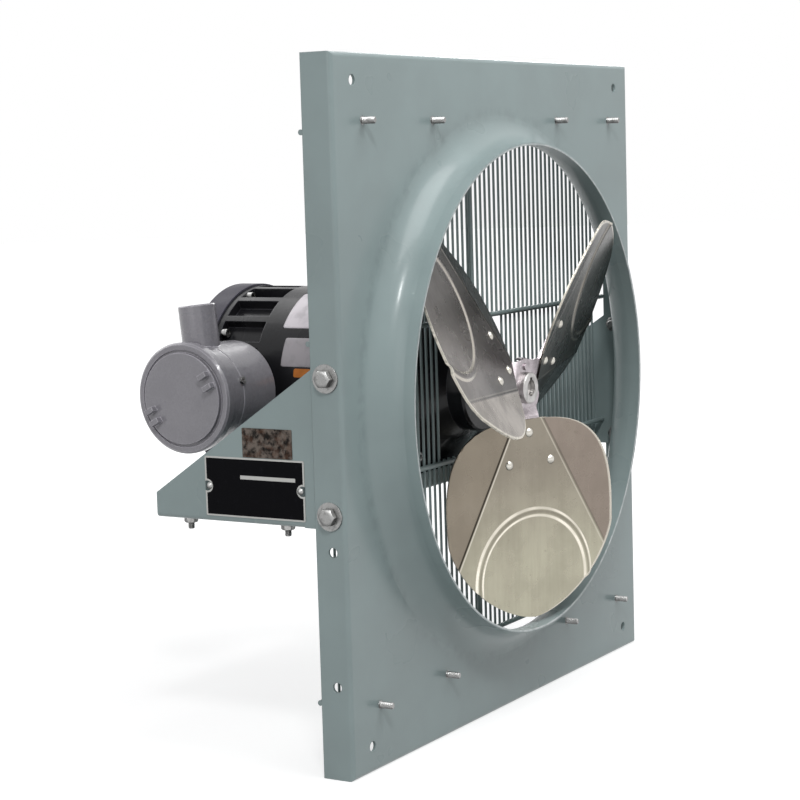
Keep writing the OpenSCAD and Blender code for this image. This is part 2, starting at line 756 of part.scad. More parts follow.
// Screwed cover: flange, raised disc with two pairs of wrench lugs, and the spigot that enters the box
module conduit_box_cover() color(paint_box) {
    face = box_reach + cover_flange_t;
    box_spin() difference() {
        union() {
            polygon([
                [0, box_reach], [cover_r - 1.5, box_reach], [cover_r, box_reach + 1.5],
                [cover_r, face - 2], [cover_r - 2, face], [0, face]
            ]);
            square_between(0, cover_disc_r, face, face + cover_disc_t);
            square_between(0, box_r - box_wall - cover_gap, box_reach - cover_spigot, box_reach);
        }
        square_between(cover_disc_r, cover_disc_r + cover_groove_w, face - cover_groove_depth, face + past);
        square_between(0, cover_hollow_r, box_reach - cover_spigot - past, box_reach + 5);
    }
    for (turn = [0, 180], side = [-1, 1])
        translate([-face - cover_disc_t, box_y, box_z]) rotate([turn - cover_tilt, 0, 0])
            translate([-lug_size[0] / 2 + 0.5, lug_ring - 3, side * (lug_gap + lug_size[1]) / 2])
                cube([lug_size[0] + 1, lug_size[2], lug_size[1]], center = true);
}

module ground_screw() color(zinc) at_ground_screw() {
    difference() {
        cylinder(r = 3.6, h = 2.6);
        translate([0, 0, 2.6]) cube([8, 1, 2], center = true);
    }
    translate([0, 0, -4]) cylinder(r = 2, h = 4);
}

// The propeller's frame: what is drawn straight down from the shaft's axis, turned to blade k
module at_blade(k) {
    rotate([0, -rest_turn - k * blade_step, 0]) children();
}

// The plane of a pitched blade or arm: x along the chord, -z outward, at a station on the shaft
module pitched(y) {
    translate([0, y, 0]) rotate([0, 0, -blade_pitch]) children();
}

// Turns a flat outline (x along the chord, y outward) into a plate that hangs from the shaft's axis
module hang(t) {
    mirror([0, 0, 1]) rotate([90, 0, 0]) linear_extrude(t, center = true) children();
}

function signed_power(v, e) = sign(v) * pow(abs(v), e);

// Outline of a blade: a rounded square at the root that turns pointed-oval at the tip
function blade_point(a) =
    let (
        e = sin(a) >= 0 ? 2 / tip_power : 2 / root_power,
        h = sin(a) >= 0 ? fan_d / 2 - blade_widest_r : blade_widest_r - blade_root_r
    )
    [blade_chord / 2 * signed_power(cos(a), e), blade_widest_r + h * signed_power(sin(a), e)];

module blade_outline() {
    polygon([for (i = [0:outline_steps - 1]) blade_point(i * 360 / outline_steps)]);
}

// Half the width of a blade's flat middle at a distance from the axis
function crease_x(v) = crease_start + crease_spread * (v - crease_start_r);

// The part of a blade's outline between its two creases
module middle_zone() {
    far = fan_d;
    polygon([[-crease_x(0), 0], [crease_x(0), 0], [crease_x(far), far], [-crease_x(far), far]]);
}

// The part of a blade's outline beyond the crease on one side
module wing_zone(side) {
    far = fan_d;
    polygon([
        [side * crease_x(0), 0], [side * crease_x(far), far],
        [side * crease_x(far) * 3, far], [side * crease_x(far) * 3, 0]
    ]);
}

// Moves its children to the crease on one side, with Z along the crease
module along_crease(side) {
    translate([side * crease_start, 0, -crease_start_r]) rotate([0, -side * atan(crease_spread), 0]) children();
}

// Bends its children about the crease on one side; a positive angle folds the wing forward
module fold_wing(side, angle) {
    along_crease(side) rotate([0, 0, -side * angle]) rotate([0, side * atan(crease_spread), 0])
        translate([-side * crease_start, 0, crease_start_r]) children();
}

// One blade in its own plane: a flat middle and two bent wings, joined by the creases' rolled ribs
module blade_plate() {
    hang(blade_t) intersection() {
        blade_outline();
        middle_zone();
    }
    for (side = [-1, 1]) fold_wing(side, side < 0 ? -rear_wing_bend : front_wing_bend)
        hang(blade_t) intersection() {
            blade_outline();
            wing_zone(side);
        }
    for (side = [-1, 1]) intersection() {
        along_crease(side) cylinder(r = blade_t / 2 + crease_rib, h = 2 * fan_d, center = true);
        hang(3 * blade_t) blade_outline();
    }
}

// The bead's arch: a low round rib, drawn with its crown on the front of the blade
module bead_arch(half_w, h) {
    round_r = (half_w * half_w + h * h) / (2 * h);
    translate([0, 0, -bead_centre_r]) rotate([90, 0, 0]) rotate_extrude(angle = 180)
        translate([bead_r, 0]) intersection() {
            translate([0, h - round_r]) circle(round_r);
            translate([-half_w, 0]) square([2 * half_w, h]);
        }
}

// A finished blade with its bead and its rivet holes, turned to its place round the shaft
module blade(k) {
    at_blade(k) pitched(prop_y) difference() {
        union() {
            blade_plate();
            intersection() {
                translate([0, -blade_t / 2 + 0.2, 0]) bead_arch(bead_half_w, bead_h + 0.2);
                hang(3 * blade_t) blade_outline();
            }
        }
        translate([0, blade_t / 2 + 0.01, 0]) bead_arch(bead_half_w - 1, bead_h - 0.4);
        at_rivets() rotate([90, 0, 0]) cylinder(r = rivet_shank_r + snug, h = 4 * blade_t, center = true);
    }
}

module blade_1() color(bare_metal) blade(0);

module blade_2() color(bare_metal) blade(1);

module blade_3() color(bare_metal) blade(2);

// The three rivets that hold a blade to its arm
module at_rivets() {
    for (p = [[-rivet_x, rivet_r_outer], [rivet_x, rivet_r_outer], [0, rivet_r_inner]])
        translate([p[0], 0, -p[1]]) children();
}

// Rivets with domed heads on the front of the blades and flat tails behind the arms
module blade_rivets() color(bare_metal) for (k = [0:blade_count - 1]) at_blade(k) pitched(prop_y) at_rivets() {
    dome_r = (rivet_head_r * rivet_head_r + rivet_head_h * rivet_head_h) / (2 * rivet_head_h);
    translate([0, -blade_t / 2, 0]) rotate([90, 0, 0]) intersection() {
        translate([0, 0, rivet_head_h - dome_r]) sphere(r = dome_r);
        cylinder(r = rivet_head_r + past, h = rivet_head_h + past);
    }
    rod_y(rivet_shank_r, -blade_t / 2, blade_t / 2 + spider_t);
    rod_y(rivet_tail_r, blade_t / 2 + spider_t, blade_t / 2 + spider_t + rivet_tail_h);
}

// Half the width of an arm: it runs beside the blade's creases, and spreads again into the flat middle
function arm_x(v) =
    let (
        waist = crease_x(arm_pitched_v) - arm_crease_gap,
        middle_x = sqrt(spider_middle_r * spider_middle_r - arm_flat_v * arm_flat_v),
        u = min((arm_pitched_v - v) / (arm_pitched_v - arm_flat_v), 1)
    )
    v < arm_pitched_v ? waist + (middle_x - waist) * u * u : min(crease_x(v) - arm_crease_gap, arm_half_w);

// Angle of an arm's section: flat at the hub, at the blades' pitch from arm_pitched_v outward
function arm_angle(v) =
    let (u = min(max((v - arm_flat_v) / (arm_pitched_v - arm_flat_v), 0), 1))
    blade_pitch * u * u * (3 - 2 * u);

// Four corners of the arm's section at a distance from the axis, a hair inside the plates that it joins
function arm_ring(v, y) = [
    for (c = [[-1, -1], [1, -1], [1, 1], [-1, 1]])
        let (s = c[0] * (arm_x(v) - twist_inset), w = c[1] * (spider_t / 2 - twist_inset), a = arm_angle(v))
        [s * cos(a) + w * sin(a), y - s * sin(a) + w * cos(a), -v]
];

// The twisted length of an arm, lofted through its sections, with its ends sunk into flat plates
module arm_twist() {
    v0 = arm_flat_v - twist_lap;
    v1 = arm_pitched_v + twist_lap;
    stations = [for (i = [0:twist_steps]) v0 + (v1 - v0) * i / twist_steps];
    points = [for (v = stations) each arm_ring(v, spider_y)];
    last = 4 * twist_steps;
    sides = [
        for (i = [0:twist_steps - 1], j = [0:3])
            let (a = 4 * i + j, b = 4 * i + (j + 1) % 4)
            each [[a, b, a + 4], [b, b + 4, a + 4]]
    ];
    caps = [[0, 2, 1], [0, 3, 2], [last, last + 1, last + 2], [last, last + 2, last + 3]];
    polyhedron(points = points, faces = concat(sides, caps));
}

// The flat middle of the spider, cut off where its arms begin to twist
module spider_middle() {
    intersection() {
        circle(spider_middle_r);
        arm_cut(arm_flat_v);
    }
}

// A triangle round the axis whose sides lie at a distance from it, square to the arms
module arm_cut(v) {
    rotate(30) circle(r = v * 2, $fn = 3);
}

// The pitched end of an arm, from where the twist ends to its rounded corners
module arm_outline() {
    wide_v = crease_start_r + (arm_half_w + arm_crease_gap - crease_start) / crease_spread;
    polygon([
        [-arm_x(arm_pitched_v), arm_pitched_v], [arm_x(arm_pitched_v), arm_pitched_v],
        [arm_half_w, wide_v], [arm_half_w, arm_end_r - arm_corner_r],
        [arm_half_w - arm_corner_r, arm_end_r], [-arm_half_w + arm_corner_r, arm_end_r],
        [-arm_half_w, arm_end_r - arm_corner_r], [-arm_half_w, wide_v]
    ]);
    for (side = [-1, 1]) translate([side * (arm_half_w - arm_corner_r), arm_end_r - arm_corner_r])
        circle(arm_corner_r);
}

// Pressed sheet spider that carries the blades, with a turned lip between its arms
module prop_spider() color(bare_metal) difference() {
    union() {
        at_blade(0) translate([0, spider_y, 0]) hang(spider_t) spider_middle();
        for (k = [0:blade_count - 1]) at_blade(k) {
            arm_twist();
            pitched(spider_y) hang(spider_t) arm_outline();
            rotate([0, 60, 0]) translate([0, spider_y, 0]) rotate([-90, 0, 0])
                rotate([0, 0, 90 - web_lip_half_angle]) rotate_extrude(angle = 2 * web_lip_half_angle)
                    translate([spider_middle_r - web_lip_t / 2, 0]) square([web_lip_t, spider_t / 2 + web_lip_h]);
        }
    }
    rod_y(hub_nose_r + snug, spider_y - 20, spider_y + 20);
    for (k = [0:blade_count - 1]) at_blade(k) pitched(prop_y) at_rivets()
        rod_y(rivet_shank_r + snug, 0, blade_t + 2 * spider_t);
    at_hub_rivets() rod_y(2 + snug, spider_y - spider_t, spider_y + spider_t);
}

// Rivets between the arms that hold the spider to the hub's flange
module at_hub_rivets() {
    for (k = [0:blade_count - 1]) at_blade(k + 0.5) translate([0, 0, -hub_rivet_ring]) children();
}

module spider_rivets() color(bare_metal) at_hub_rivets() {
    rod_y(3.4, spider_y - spider_t / 2 - 1.6, spider_y - spider_t / 2);
    rod_y(2, spider_y - spider_t / 2, spider_y + spider_t / 2 + hub_flange_t);
    rod_y(3.2, spider_y + spider_t / 2 + hub_flange_t, spider_y + spider_t / 2 + hub_flange_t + 1.5);
}

// Turned hub: nose through the spider, flange behind it with flats under the arms, and a boss
module prop_hub() color(bare_metal) difference() {
    union() {
        rod_y(hub_nose_r, hub_front_y + 1, flange_y + hub_flange_t / 2);
        translate([0, hub_front_y, 0]) rotate([-90, 0, 0])
            cylinder(r1 = hub_nose_r - 1, r2 = hub_nose_r, h = 1);
        at_blade(0) translate([0, flange_y, 0]) hang(hub_flange_t) intersection() {
            circle(hub_flange_r);
            arm_cut(arm_flat_v - snug);
        }
        rod_y(hub_boss_r, flange_y, hub_rear_y);
    }
    rod_y(shaft_r + snug, hub_front_y - past, hub_rear_y + past);
    translate([-key_w / 2 - snug, hub_front_y - past, 0])
        cube([key_w + 2 * snug, hub_rear_y - hub_front_y + 2 * past, shaft_r + key_w / 2 + snug]);
    at_hub_rivets() rod_y(2 + snug, spider_y, spider_y + spider_t / 2 + hub_flange_t + past);
    at_set_screws() cylinder(r = set_screw_r + snug, h = hub_boss_r + past);
}

// Two set screws a quarter turn apart, one of them on the key
module at_set_screws() {
    for (a = [0, 90]) translate([0, set_screw_y, 0]) rotate([0, a, 0]) children();
}

module hub_set_screws() color([0.25, 0.25, 0.27]) for (a = [0, 90]) translate([0, set_screw_y, 0]) rotate([0, a, 0]) {
    foot = a == 0 ? shaft_r + key_w / 2 + 2 * snug : shaft_r + 2 * snug;
    difference() {
        translate([0, 0, foot]) cylinder(r = set_screw_r, h = hub_boss_r - 1 - foot);
        translate([0, 0, hub_boss_r - 4]) hex(3.2, 5);
    }
}

// The guard's cross rods, lying on the rims' rear edges, and its two upright rods
module guard_rods() color(paint_green) {
    reach = panel_w / 2 - sheet_t / 2;
    for (z = [-guard_end_z, guard_window_z, guard_end_z])
        translate([0, guard_rod_y, z]) rod_x(guard_rod_d / 2, -reach, reach);
    translate([0, guard_rod_y, -guard_window_z]) rod_x(guard_rod_d / 2, -gusset_inner_x, gusset_inner_x);
    for (side = [-1, 1]) translate([0, guard_rod_y, side * (guard_window_z + guard_end_z) / 2])
        cylinder(r = guard_rod_d / 2, h = guard_end_z - guard_window_z - guard_rod_d, center = true);
}

// The guard's upright wires, left out where the motor's nose comes through
module guard_wires() color(paint_green) for (i = [-guard_side_count:guard_side_count])
    translate([i * guard_pitch, guard_wire_y, 0])
        if (abs(i) <= guard_window_count) {
            for (side = [0, 1]) mirror([0, 0, side]) translate([0, 0, guard_window_z - guard_wire_over])
                cylinder(r = guard_wire_d / 2, h = guard_end_z - guard_window_z + 2 * guard_wire_over);
        } else {
            cylinder(r = guard_wire_d / 2, h = 2 * (guard_end_z + guard_wire_over), center = true);
        }

// A plate with rounded corners on the left gusset's outer face, between two stations and two heights
module gusset_plate(ys, zs, t, r) {
    translate([-rim_inner_x - t, 0, 0]) rotate([90, 0, 90]) linear_extrude(t) {
        translate([ys[0] + r, zs[0]]) square([ys[1] - ys[0] - 2 * r, zs[1] - zs[0]]);
        translate([ys[0], zs[0] + r]) square([ys[1] - ys[0], zs[1] - zs[0] - 2 * r]);
        for (y = [ys[0] + r, ys[1] - r], z = [zs[0] + r, zs[1] - r]) translate([y, z]) circle(r);
    }
}

module at_plate_rivets() {
    for (y = [plate_name_y[0] + plate_rivet_inset, plate_name_y[1] - plate_rivet_inset])
        translate([-rim_inner_x, y, (plate_name_z[0] + plate_name_z[1]) / 2]) rotate([0, -90, 0]) children();
}

// Bare nameplate
module nameplate() color([0.06, 0.06, 0.06]) difference() {
    gusset_plate(plate_name_y, plate_name_z, plate_name_t, 1.5);
    at_plate_rivets() cylinder(r = 1.6 + snug, h = 4, center = true);
}

module nameplate_rivets() color(zinc) at_plate_rivets() {
    cylinder(r = 1.6, h = plate_name_t);
    translate([0, 0, plate_name_t]) intersection() {
        translate([0, 0, -1.95]) sphere(r = 3.75);
        cylinder(r = 5, h = 3);
    }
}

// Bare foil tag above the nameplate
module approval_tag() color([0.5, 0.47, 0.45]) gusset_plate(tag_y, tag_z, tag_t, 1);

venturi_panel();
shutter_studs();
gusset_left();
gusset_right();
motor_shelf();
rim_bolts();
rim_washers();
rim_nuts();
shelf_bolts();
shelf_nuts();
motor_frame();
front_end_bell();
rear_end_bell();
front_bell_screws();
rear_bell_screws();
stator_core();
stator_windings();
rotor_core();
motor_shaft();
shaft_key();
front_bearing();
rear_bearing();
foot_bolts();
foot_nuts();
lead_seal();
conduit_box();
conduit_box_cover();
ground_screw();
prop_hub();
hub_set_screws();
prop_spider();
spider_rivets();
blade_1();
blade_2();
blade_3();
blade_rivets();
guard_rods();
guard_wires();
nameplate();
nameplate_rivets();
approval_tag();
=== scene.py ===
"""Looks of the explosion-proof exhaust fan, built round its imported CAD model.

The CAD nodes stay as they are and get procedural finishes. Pieces whose real surface is finer than the
CAD solid are worked out here as numpy grids and stand in for their nodes.
Lengths are millimetres in the sizes below and metres in Blender.
"""

import math
from collections import namedtuple

import bpy  # noqa: E402
import numpy as np  # noqa: E402
from bpy.props import FloatProperty, FloatVectorProperty, IntProperty, PointerProperty  # noqa: E402
from mathutils import Matrix, Vector  # noqa: E402


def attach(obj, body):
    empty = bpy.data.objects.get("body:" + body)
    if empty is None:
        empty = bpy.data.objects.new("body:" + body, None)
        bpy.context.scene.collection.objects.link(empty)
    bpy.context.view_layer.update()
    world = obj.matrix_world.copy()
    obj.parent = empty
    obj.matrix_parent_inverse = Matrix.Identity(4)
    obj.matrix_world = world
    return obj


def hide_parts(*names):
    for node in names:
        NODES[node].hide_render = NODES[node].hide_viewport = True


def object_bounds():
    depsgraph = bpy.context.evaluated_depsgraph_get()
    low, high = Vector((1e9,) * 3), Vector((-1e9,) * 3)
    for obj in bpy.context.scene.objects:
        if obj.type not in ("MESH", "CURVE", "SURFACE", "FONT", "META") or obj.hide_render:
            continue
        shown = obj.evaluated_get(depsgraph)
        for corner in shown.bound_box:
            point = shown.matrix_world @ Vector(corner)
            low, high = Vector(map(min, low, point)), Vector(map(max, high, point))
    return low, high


bl_info = {
    "name": "Exhaust fan dresser",
    "version": (1, 0, 0),
    "blender": (4, 5, 0),
    "location": "3D View > Sidebar > Fan",
    "description": "Dresses the exhaust fan's CAD model with its blades, threads, labels and finishes",
    "category": "Object",
}

MM = 0.001
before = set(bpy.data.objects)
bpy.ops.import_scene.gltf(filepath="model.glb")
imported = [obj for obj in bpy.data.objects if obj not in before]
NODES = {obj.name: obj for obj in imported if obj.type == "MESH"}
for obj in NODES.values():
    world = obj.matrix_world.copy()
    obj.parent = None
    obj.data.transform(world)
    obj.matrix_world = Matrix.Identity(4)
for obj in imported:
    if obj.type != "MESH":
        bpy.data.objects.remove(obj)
CAD_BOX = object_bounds()

# Lines of a blade: half the width between its creases at a distance from the axis, how fast that half width
# grows, where the arch of its bead is centred, and the powers of its outline towards the tip and the root
CREASE_HALF = 22.4
CREASE_FROM = 40
CREASE_SLOPE = 0.54
CREASE_ANGLE = math.atan(CREASE_SLOPE)
BEAD_CENTRE = 190
TIP_POWER = 1.62
ROOT_POWER = 3.04
BLADE_STEP = 120

# The ring's lip with its painted highlight, by its front face and radius, and the radii of its foot, painted
# darker
LIP_FRONT = -37.7
LIP_RADIUS = 236.6
FOOT_INNER, FOOT_OUTER = 256, 276

# Places of the fasteners: half widths, stations along the shaft and heights, in millimetres
STUD_HALVES = (246.5, 125.5)
STUD_HEIGHT = 259
RIM_FACE = 295
RIM_INSIDE = 289.8
RIM_STATION = 15.5
RIM_HEIGHTS = (38.5, -82)
SHELF_HALF = 277.5
SHELF_STATIONS = (72, 179)
SHELF_TOP, SHELF_UNDERSIDE = -88.9, -94.3
FOOT_HALF = 61.9
FOOT_STATIONS = (91.85, 168.05)
FOOT_TOP, FOOT_UNDERSIDE = -79.9, -91.6

# A thread's depth as a share of its pitch, the length of it that is cut on a bolt, and a nut's play round it
THREAD_DEPTH = 0.54
THREAD_LENGTH = 14
THREAD_PLAY = 0.05


# Sizes and colours


def millimetres(name, value, low, high, description):
    """A length in millimetres for the panel in the sidebar."""
    return FloatProperty(name=name, description=description, default=value, min=low, max=high)


def colour(name, value, description):
    """A linear RGB colour for the panel in the sidebar."""
    return FloatVectorProperty(
        name=name, description=description, default=value, size=3, min=0, max=1, subtype="COLOR"
    )


class BladeSizes(bpy.types.PropertyGroup):
    """Sizes of one propeller blade, as the CAD source has them."""

    swept: millimetres("Swept diameter", 456, 400, 460, "Diameter swept by the blade tips")
    root: millimetres("Root radius", 31, 28, 40, "Distance from the axis to the blade's root")
    tip_half: millimetres("Tip length", 85.7, 60, 110, "Length of the outline beyond its widest place")
    chord: millimetres("Chord", 198, 150, 200, "Widest chord of the blade")
    thickness: millimetres("Thickness", 2, 1, 3, "Thickness of the blade's sheet")
    forward: millimetres("Forward", 25.4, 20, 30, "Distance from the panel's face to the blades' middle")
    pitch: FloatProperty(
        name="Pitch", description="Pitch of the blade against its plane of rotation",
        default=math.radians(25), subtype="ANGLE",
    )
    turn: FloatProperty(
        name="Rest turn", description="Turn of the propeller from one blade straight down",
        default=math.radians(1.6), subtype="ANGLE",
    )
    rear_wing: FloatProperty(
        name="Rear wing", description="Bend of the trailing wing towards the motor",
        default=math.radians(8.8), subtype="ANGLE",
    )
    front_wing: FloatProperty(
        name="Front wing", description="Bend of the leading wing towards the front",
        default=math.radians(5.4), subtype="ANGLE",
    )
    bead: millimetres("Bead radius", 67, 50, 80, "Radius of the arch of the stiffening bead")
    bead_height: millimetres("Bead height", 1.8, 0.5, 3, "Height of the bead on the blade's front")
    rows: IntProperty(name="Rows", description="Grid rows from root to tip", default=216, min=40)


class FastenerSizes(bpy.types.PropertyGroup):
    """Sizes of the bolts, nuts and studs, as the CAD source has them."""

    stud: millimetres("Stud", 6.4, 5, 8, "Thread diameter of the shutter studs")
    stud_length: millimetres("Stud length", 13, 8, 20, "Length of a stud in front of the panel")
    stud_pitch: millimetres("Stud pitch", 1.27, 0.8, 2, "Pitch of the studs' thread")
    rim_bolt: millimetres("Rim bolt", 9.52, 8, 12, "Thread diameter of the bolts through the rims")
    rim_pitch: millimetres("Rim bolt pitch", 1.59, 1, 2, "Pitch of the rim bolts' thread")
    shelf_bolt: millimetres("Shelf bolt", 6.35, 5, 8, "Thread diameter of the shelf's bolts")
    shelf_pitch: millimetres("Shelf bolt pitch", 1.27, 0.8, 2, "Pitch of the shelf bolts' thread")
    foot_bolt: millimetres("Foot bolt", 7.94, 6, 10, "Thread diameter of the motor's foot bolts")
    foot_pitch: millimetres("Foot bolt pitch", 1.41, 1, 2, "Pitch of the foot bolts' thread")


class FanColours(bpy.types.PropertyGroup):
    """Base colours of the fan's finishes, in linear RGB."""

    enamel: colour("Enamel", (0.27, 0.335, 0.335), "Grey-green enamel of the panel and the supports")
    motor: colour("Motor", (0.012, 0.012, 0.014), "Black enamel of the motor's frame")
    bell: colour("End bell", (0.065, 0.062, 0.078), "Dark grey enamel of the motor's rear bell")
    box: colour("Conduit box", (0.26, 0.25, 0.275), "Grey enamel of the cast conduit box")
    # A painted highlight of brighter metal along the ring's lip
    lip_highlight: colour("Worn lip", (0.62, 0.66, 0.66), "Brighter metal where the ring's lip is worn")
    blade: colour("Blades", (0.40, 0.375, 0.325), "Polished sheet of the blades")
    steel: colour("Steel", (0.50, 0.49, 0.48), "Turned steel of the hub and the shaft")
    spider: colour("Spider", (0.42, 0.38, 0.40), "Polished metal of the propeller's spider")
    rivet: colour("Blade rivets", (0.55, 0.53, 0.48), "Polished metal of the blades' rivets")
    oxide: colour("Black oxide", (0.05, 0.05, 0.055), "Blackened steel of the set screws")
    epoxy: colour("Potting", (0.03, 0.028, 0.025), "Poured resin in the lead hole")
    zinc: colour("Zinc", (0.66, 0.66, 0.65), "Zinc plate of the fasteners")
    copper: colour("Windings", (0.42, 0.15, 0.055), "Varnished copper wire")
    plate: colour("Nameplate", (0.004, 0.004, 0.005), "Black ground of the nameplate")
    border: colour("Nameplate's border", (0.52, 0.52, 0.50), "Bare metal of the nameplate's border")
    tag: colour("Tag", (0.21, 0.175, 0.15), "Etched foil of the tag")
    label: colour("Labels", (0.78, 0.73, 0.77), "Bare paper labels on the motor")
    orange: colour("Small label", (0.62, 0.19, 0.02), "Bare orange label on the motor")
    floor: colour("Floor", (0.45, 0.45, 0.45), "Plain floor of the studio")


# Shader maths


class Value:
    """A shader socket that takes part in Python expressions, each of which adds its Math node."""

    def __init__(self, finish, socket):
        self.finish = finish
        self.socket = socket

    def _with(self, operation, *others):
        return self.finish.value("ShaderNodeMath", {"operation": operation}, *others)

    def __add__(self, other):
        return self._with("ADD", self, other)

    __radd__ = __add__

    def __mul__(self, other):
        return self._with("MULTIPLY", self, other)

    __rmul__ = __mul__

    def __sub__(self, other):
        return self._with("SUBTRACT", self, other)

    def __rsub__(self, other):
        return self._with("SUBTRACT", other, self)

    def __truediv__(self, other):
        return self._with("DIVIDE", self, other)

    def __rtruediv__(self, other):
        return self._with("DIVIDE", other, self)

    def __pow__(self, other):
        return self._with("POWER", self, other)

    def __abs__(self):
        return self._with("ABSOLUTE", self)

    def __gt__(self, other):
        return self._with("GREATER_THAN", self, other)

    def __lt__(self, other):
        return self._with("LESS_THAN", self, other)

    def least(self, other):
        """The smaller of the two values."""
        return self._with("MINIMUM", self, other)

    def most(self, other):
        """The larger of the two values."""
        return self._with("MAXIMUM", self, other)

    def sin(self):
        """Sine of the value in radians."""
        return self._with("SINE", self)

    def ramp(self, low, high):
        """0 at low and 1 at high, with a smooth course between them, in either order."""
        settings = {"interpolation_type": "SMOOTHSTEP"}
        return self.finish.value("ShaderNodeMapRange", settings, self, low, high, 0.0, 1.0)


class Finish:
    """One material: a Principled shader and the nodes that feed it, on Object coordinates."""

    def __init__(self, name, base, roughness, metallic=0.0, **constants):
        self.material = bpy.data.materials.new(name)
        self.material.use_nodes = True
        self.tree = self.material.node_tree
        self.tree.nodes.clear()
        output = self.tree.nodes.new("ShaderNodeOutputMaterial")
        self.shader = self.tree.nodes.new("ShaderNodeBsdfPrincipled")
        self.tree.links.new(self.shader.outputs[0], output.inputs[0])
        self.output = output
        self.feed("Base Color", tuple(base))
        self.feed("Roughness", roughness)
        self.feed("Metallic", metallic)
        for socket, value in constants.items():
            self.feed(socket.replace("_", " "), value)
        self.place = self.node("ShaderNodeTexCoord").outputs["Object"]

    def node(self, kind, settings=None, *inputs, **named):
        """Adds a node: its settings first, then its sockets in order and by name, as numbers or links."""
        made = self.tree.nodes.new(kind)
        for key, value in (settings or {}).items():
            setattr(made, key, value)
        pairs = list(enumerate(inputs)) + [(k.replace("_", " "), v) for k, v in named.items()]
        for key, value in pairs:
            self._set(made.inputs[key], value)
        return made

    def _set(self, socket, value):
        if isinstance(value, Value):
            value = value.socket
        if isinstance(value, bpy.types.NodeSocket):
            self.tree.links.new(value, socket)
        elif socket.type == "RGBA" and len(value) == 3:
            socket.default_value = (*value, 1)
        else:
            socket.default_value = value

    def value(self, kind, settings, *inputs, **named):
        """Adds a node and wraps its first output."""
        return Value(self, self.node(kind, settings, *inputs, **named).outputs[0])

    def feed(self, socket, value):
        """Sets or links one socket of the shader."""
        self._set(self.shader.inputs[socket], value)

    def moved(self, centre=(0, 0, 0), angles=(0, 0, 0), scale=(1, 1, 1)):
        """Object coordinates seen from a centre in metres, turned and scaled."""
        back = tuple(-c for c in centre)
        shifted = self.node("ShaderNodeVectorMath", {"operation": "ADD"}, self.place, back).outputs[0]
        settings = {"vector_type": "POINT"}
        return self.node("ShaderNodeMapping", settings, shifted, (0, 0, 0), angles, scale).outputs[0]

    def axis(self, letter, vector=None):
        """One coordinate in millimetres."""
        parts = self.node("ShaderNodeSeparateXYZ", None, vector or self.place)
        return Value(self, parts.outputs["XYZ".index(letter)]) * (1 / MM)

    def cosine(self, first, second):
        """Cosine of the angle between two directions."""
        made = self.node("ShaderNodeVectorMath", {"operation": "DOT_PRODUCT"}, first, second)
        return Value(self, made.outputs["Value"])

    def facing(self, direction):
        """How squarely the surface faces a direction of the object: 1 straight on, 0 edge on, -1 away."""
        normal = self.node("ShaderNodeTexCoord").outputs["Normal"]
        return self.cosine(normal, Vector(direction).normalized())

    def worn_edge(self, radius):
        """1 within a radius in millimetres of an edge, where the rounded normal leaves the face's own."""
        own = self.node("ShaderNodeNewGeometry").outputs["Normal"]
        still_flat, rounded_off = 0.992, 0.93
        return self.cosine(own, self.rounded(radius)).ramp(still_flat, rounded_off)

    def noise(self, size, detail=2.0, roughness=0.5, vector=None):
        """Noise from 0 to 1 whose bumps are about size millimetres across."""
        return self.value(
            "ShaderNodeTexNoise", None, vector or self.place,
            Scale=1 / (size * MM), Detail=detail, Roughness=roughness,
        )

    def cells(self, size):
        """Distance to the nearest cell point, with cells of about size millimetres."""
        return self.value("ShaderNodeTexVoronoi", {"feature": "F1"}, self.place, Scale=1 / (size * MM))

    def blend(self, factor, first, second):
        """A colour between two others."""
        mixer = self.node("ShaderNodeMix", {"data_type": "RGBA"})
        for key, value in (("Factor", factor), ("A", first), ("B", second)):
            self._set(next(s for s in mixer.inputs if s.name == key and s.enabled), value)
        return next(s for s in mixer.outputs if s.enabled)

    def bump(self, height, depth, normal=None):
        """A Bump node whose height runs from 0 to depth millimetres; it feeds the shader's normal."""
        made = self.node("ShaderNodeBump", None, Strength=1.0, Distance=depth * MM, Height=height)
        if normal is not None:
            self._set(made.inputs["Normal"], normal)
        self.feed("Normal", made.outputs[0])

    def rounded(self, radius):
        """The surface's normal with its edges rounded to a radius in millimetres."""
        return self.node("ShaderNodeBevel", {"samples": 6}, Radius=radius * MM).outputs[0]


# Finishes


def tint(base, factor):
    """A colour made lighter or darker by a factor."""
    return tuple(min(c * factor, 1.0) for c in base)


def sprayed(name, base, orange_peel, edge):
    """Sprayed enamel on sheet, with orange peel and bends that catch the light, and its clouded colour."""
    f = Finish(name, base, 0.34, Specular_IOR_Level=0.3, Coat_Weight=0.25, Coat_Roughness=0.14)
    clouds = f.noise(90, 3.0)
    f.feed("Roughness", 0.26 + clouds.ramp(0.3, 0.7) * 0.12)
    f.bump(f.noise(2.6, 1.0) + f.noise(11, 0.0) * 0.8, orange_peel, f.rounded(edge))
    return f, f.blend(clouds.ramp(0.35, 0.65), tint(base, 0.955), tint(base, 1.045))


def enamel(name, base, orange_peel, edge):
    """Sprayed enamel with a few darker flecks."""
    f, paint = sprayed(name, base, orange_peel, edge)
    flecks = f.noise(5, 2.0).ramp(0.72, 0.80)
    f.feed("Base Color", f.blend(flecks * 0.10, paint, tint(base, 0.75)))
    return f


